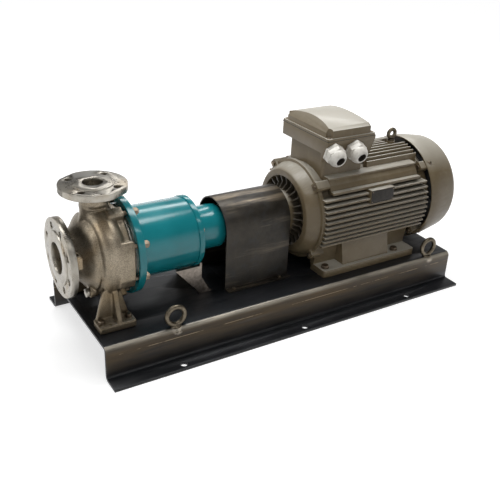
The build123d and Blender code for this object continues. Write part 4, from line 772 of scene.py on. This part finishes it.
def hex_tree(washer, material):
    """Chamfered hexagon heads or nuts with their shanks, for a thread of one unit."""
    sizes = ("Across", "Height", "Chamfer", "Washer Radius", "Washer Thickness")
    tree, given = new_tree("hexagon_fasteners", sizes)
    corner = work_out(tree, "DIVIDE", given["Across"], math.sqrt(3))
    prism = cylinder(tree, 6, corner, given["Height"])
    top = work_out(tree, "MULTIPLY", given["Across"], given["Chamfer"])
    bottom = work_out(tree, "ADD", top, work_out(tree, "MULTIPLY", given["Height"], math.sqrt(3)))
    sockets = {"Vertices": 36, "Radius Top": top, "Radius Bottom": bottom, "Depth": given["Height"]}
    cone = raised(tree, grown(tree, "MeshCone", sockets), work_out(tree, "MULTIPLY", given["Height"], -0.5))
    cut = combined(tree, "MeshBoolean", (prism, cone), "Mesh 2", operation="INTERSECT", solver="EXACT")
    half = work_out(tree, "MULTIPLY", given["Height"], 0.5)
    head = raised(tree, cut.outputs["Mesh"], work_out(tree, "ADD", half, given["Washer Thickness"]))
    stack = [head]
    if washer:
        disc = cylinder(tree, 32, given["Washer Radius"], given["Washer Thickness"])
        stack.append(raised(tree, disc, work_out(tree, "MULTIPLY", given["Washer Thickness"], 0.5)))
    whole = combined(tree, "JoinGeometry", stack).outputs[0]
    heads = spread(tree, given["Geometry"], whole, "size")
    rod = raised(tree, cylinder(tree, 20, 0.5, 1.0), -0.5)
    shanks = spread(tree, given["Geometry"], rod, "shank")
    end_tree(tree, combined(tree, "JoinGeometry", (heads, shanks)).outputs[0], material)
    return tree


def grow(name, seed, tree, sizes):
    """Run a tree on a mesh and keep the result as a plain mesh."""
    holder = bpy.data.objects.new(name, seed)
    bpy.context.scene.collection.objects.link(holder)
    modifier = holder.modifiers.new("grown", "NODES")
    modifier.node_group = tree
    for socket in tree.interface.items_tree:
        if socket.in_out == "INPUT" and socket.name in sizes:
            modifier[socket.identifier] = float(sizes[socket.name])
    view = bpy.context.evaluated_depsgraph_get()
    mesh = bpy.data.meshes.new_from_object(holder.evaluated_get(view))
    mesh.name = name
    holder.modifiers.clear()
    bpy.data.objects.remove(holder)
    piece = bpy.data.objects.new(name, mesh)
    bpy.context.scene.collection.objects.link(piece)
    return piece


def islands(node):
    """Lowest and highest corner of each separate solid of a node, in the same order each run."""
    shape = merged(node)
    left = set(shape.verts)
    found = []
    while left:
        heap = [left.pop()]
        group = []
        while heap:
            vertex = heap.pop()
            group.append(vertex.co.copy())
            for edge in vertex.link_edges:
                other = edge.other_vert(vertex)
                if other in left:
                    left.remove(other)
                    heap.append(other)
        low = Vector(min(point[axis] for point in group) for axis in range(3))
        high = Vector(max(point[axis] for point in group) for axis in range(3))
        found.append((low, high))
    shape.free()
    return sorted(found, key=lambda corners: tuple(corners[0]))


def seats_mesh(name, seats):
    """Points with their outward direction, size and shank, for a tree to build on."""
    mesh = bpy.data.meshes.new(name)
    mesh.from_pydata([seat["place"] for seat in seats], [], [])
    for key in ("out", "size", "shank"):
        layer = mesh.attributes.new(key, "FLOAT_VECTOR", "POINT")
        for number, seat in enumerate(seats):
            layer.data[number].vector = seat[key]
    return mesh


def seats_of(node, out, head_ratio, washer_ratio, thread):
    """Where each fastener of a node sits: under its head or nut, by the CAD solids."""
    out = Vector(out)
    seats = []
    for low, high in islands(node):
        middle = (low + high) / 2
        reach = abs((high - low).dot(out))
        size = thread if thread else reach / head_ratio
        tip = middle + out * reach / 2
        seat = tip - out * size * (head_ratio + washer_ratio)
        shank = max(reach - size * (head_ratio + washer_ratio), 0.0)
        seats.append({"place": seat, "out": out, "size": (size, size, size), "shank": (size, size, shank)})
    return seats


# Node, outward direction, thread in millimetres (0 for a nut without a shank), and the heights of head
# and washer as shares of the thread
fastener_rows = [
    ("casing_nuts", (1, 0, 0), 12, 0.88, 0.0), ("bearing_housing_bolts", (1, 0, 0), 8, 0.62, 0.0),
    ("pump_foot_bolts", (0, 0, 1), 10, 0.62, 0.16), ("bracket_bolts", (0, 0, 1), 8, 0.62, 0.16),
    ("guard_bolts", (0, 0, 1), 6, 0.62, 0.16), ("motor_foot_bolts", (0, 0, 1), 12, 0.62, 0.16),
    ("end_shield_bolts", (-1, 0, 0), 8, 0.62, 0.0), ("base_nuts", (0, 0, -1), 0, 0.88, 0.0),
]


def hexagon_fasteners():
    for node, out, thread, head, washer in fastener_rows:
        tree = hex_tree(washer > 0, finishes[slot_of[node]].material)
        seats = seats_of(node, out, head, washer, thread * mm)
        sizes = {
            "Across": 1.5, "Height": head, "Chamfer": 0.475,
            "Washer Radius": 0.95, "Washer Thickness": washer,
        }
        piece = grow(node + "_chamfered", seats_mesh(node + "_seats", seats), tree, sizes)
        shade(piece, 25)
        dress(piece, slot_of[node])
        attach(piece, nodes[node]["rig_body"])
        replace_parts(piece, node)


def dome_tree(crossed, material):
    """Domed heads for a unit radius, with a crossed recess for a driver where they are screws."""
    sizes = ("Rise", "Slot Width", "Slot Length", "Slot Depth")
    tree, given = new_tree("domed_heads", sizes)
    ball = grown(tree, "MeshUVSphere", {"Segments": 28, "Rings": 16, "Radius": 1.0})
    flat = vector_of(tree, 1.0, 1.0, given["Rise"])
    dome = grown(tree, "Transform", {"Geometry": ball, "Scale": flat})
    if crossed:
        deep = work_out(tree, "MULTIPLY", given["Slot Depth"], 2.0)
        blocks = []
        for across, along in (("Slot Width", "Slot Length"), ("Slot Length", "Slot Width")):
            block = grown(tree, "MeshCube", {"Size": vector_of(tree, given[across], given[along], deep)})
            blocks.append(raised(tree, block, given["Rise"]))
        cut = combined(tree, "MeshBoolean", blocks, "Mesh 2", operation="DIFFERENCE", solver="EXACT")
        tree.links.new(dome, cut.inputs["Mesh 1"])
        dome = cut.outputs["Mesh"]
    end_tree(tree, spread(tree, given["Geometry"], dome, "size"), material)
    return tree


def domed_heads(name, places, radius, rise, crossed):
    """Domed screw or rivet heads; places are pairs of a seat and the way it faces."""
    size = (radius, radius, radius)
    seats = [{"place": place, "out": out, "size": size, "shank": size} for place, out in places]
    tree = dome_tree(crossed, finishes["zinc_steel"].material)
    sizes = {"Rise": rise, "Slot Width": 0.24, "Slot Length": 1.15, "Slot Depth": 0.3}
    piece = grow(name, seats_mesh(name + "_seats", seats), tree, sizes)
    shade(piece, 35)
    dress(piece, "zinc_steel")
    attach(piece, "static")
    return piece


def screws_and_rivets():
    screw_radius, rivet_radius = 5.7 * mm, 1.8 * mm
    head_height = 3.7 * mm
    lid = []
    for low, high in islands("terminal_lid_screws"):
        seat = Vector(((low.x + high.x) / 2, (low.y + high.y) / 2, high.z - head_height))
        lid.append((seat, Vector((0, 0, 1))))
    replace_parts(domed_heads("lid_screws_crossed", lid, screw_radius, 0.65, True), "terminal_lid_screws")
    cowl = []
    for low, high in islands("cowl_screws"):
        middle = (low + high) / 2
        out = Vector((0, middle.y, middle.z - shaft_z)).normalized()
        cowl.append((Vector((middle.x, 0, shaft_z)) + out * cowl_radius, out))
    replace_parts(domed_heads("cowl_screws_crossed", cowl, screw_radius, 0.60, True), "cowl_screws")
    low, high = (Vector(corner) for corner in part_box("rating_plate"))
    inset = 3.5 * mm
    corners = [(x, z) for x in (low.x + inset, high.x - inset) for z in (low.z + inset, high.z - inset)]
    plate = [(Vector((x, low.y, z)), Vector((0, -1, 0))) for x, z in corners]
    domed_heads("plate_rivets", plate, rivet_radius, 0.5, False)


def weld_tree(material):
    """A rippled bead along a line of edges."""
    sizes = ("Radius", "Step", "Ripple", "Roughness")
    tree, given = new_tree("weld_bead", sizes)
    line = grown(tree, "MeshToCurve", {0: given["Geometry"]})
    line = grown(tree, "ResampleCurve", {"Curve": line, "Length": given["Step"]}, mode="LENGTH")
    steps_per_ripple = 5
    turn = work_out(tree, "MULTIPLY", grown(tree, "InputIndex", {}), math.tau / steps_per_ripple)
    wave = work_out(tree, "MULTIPLY", work_out(tree, "SINE", turn), given["Ripple"])
    line = grown(tree, "SetCurveRadius", {"Curve": line, "Radius": work_out(tree, "ADD", wave, 1.0)})
    ring = grown(tree, "CurvePrimitiveCircle", {"Resolution": 10, "Radius": given["Radius"]})
    tube = grown(tree, "CurveToMesh", {"Curve": line, "Profile Curve": ring, "Fill Caps": True})
    grain = put(tree, "ShaderNodeTexNoise", {"Scale": 320.0, "Detail": 2.0})
    lift = work_out(tree, "MULTIPLY", work_out(tree, "SUBTRACT", grain, 0.5), given["Roughness"])
    normal = grown(tree, "InputNormal", {})
    push = put(tree, "ShaderNodeVectorMath", {0: normal, "Scale": lift}, operation="SCALE")
    end_tree(tree, grown(tree, "SetPosition", {"Geometry": tube, "Offset": push}), material)
    return tree


def bead(name, lines, radius, slot):
    """One weld piece from several lines of points; a line may be closed."""
    mesh = bpy.data.meshes.new(name + "_lines")
    points, edges = [], []
    for line, closed in lines:
        first = len(points)
        points += line
        edges += [(first + number, first + number + 1) for number in range(len(line) - 1)]
        if closed:
            edges.append((first + len(line) - 1, first))
    mesh.from_pydata(points, edges, [])
    sizes = {"Radius": radius, "Step": 0.7 * mm, "Ripple": 0.16, "Roughness": 0.7 * mm}
    piece = grow(name, mesh, weld_tree(finishes[slot].material), sizes)
    shade(piece, 60)
    dress(piece, slot)
    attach(piece, "static")


def welds():
    """Beads round the ring feet and in the corners of the bracket."""
    rings = []
    points_round = 36
    for low, high in islands("lifting_eyes"):
        middle = (low + high) / 2
        loop = []
        for number in range(points_round):
            turn = math.tau * number / points_round
            x = middle.x + ring_foot_length * math.cos(turn)
            y = middle.y + ring_foot_width * math.sin(turn)
            loop.append((x, y, plate_top + ring_bead_lift))
        rings.append((loop, True))
    bead("ring_welds", rings, ring_bead, "eye_steel")
    low, high = (Vector(corner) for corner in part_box("support_bracket"))
    seams = []
    for side, y in ((1, low.y), (-1, high.y)):
        inner = y + side * bracket_bead_inset
        for x, start, end in bracket_bead_rows:
            seams.append(([(x, inner, low.z + start), (x, inner, plate_top + end)], False))
    bead("bracket_welds", seams, bracket_bead, "bracket_steel")


bpy.context.scene.view_settings.view_transform = "Standard"
place_camera()
lay_floor()
light_studio()
for name, node in nodes.items():
    dress(node, slot_of[name])
broken_edges()
cast_casing()
lifting_rings()
fan_with_shroud()
hexagon_fasteners()
screws_and_rivets()
welds()
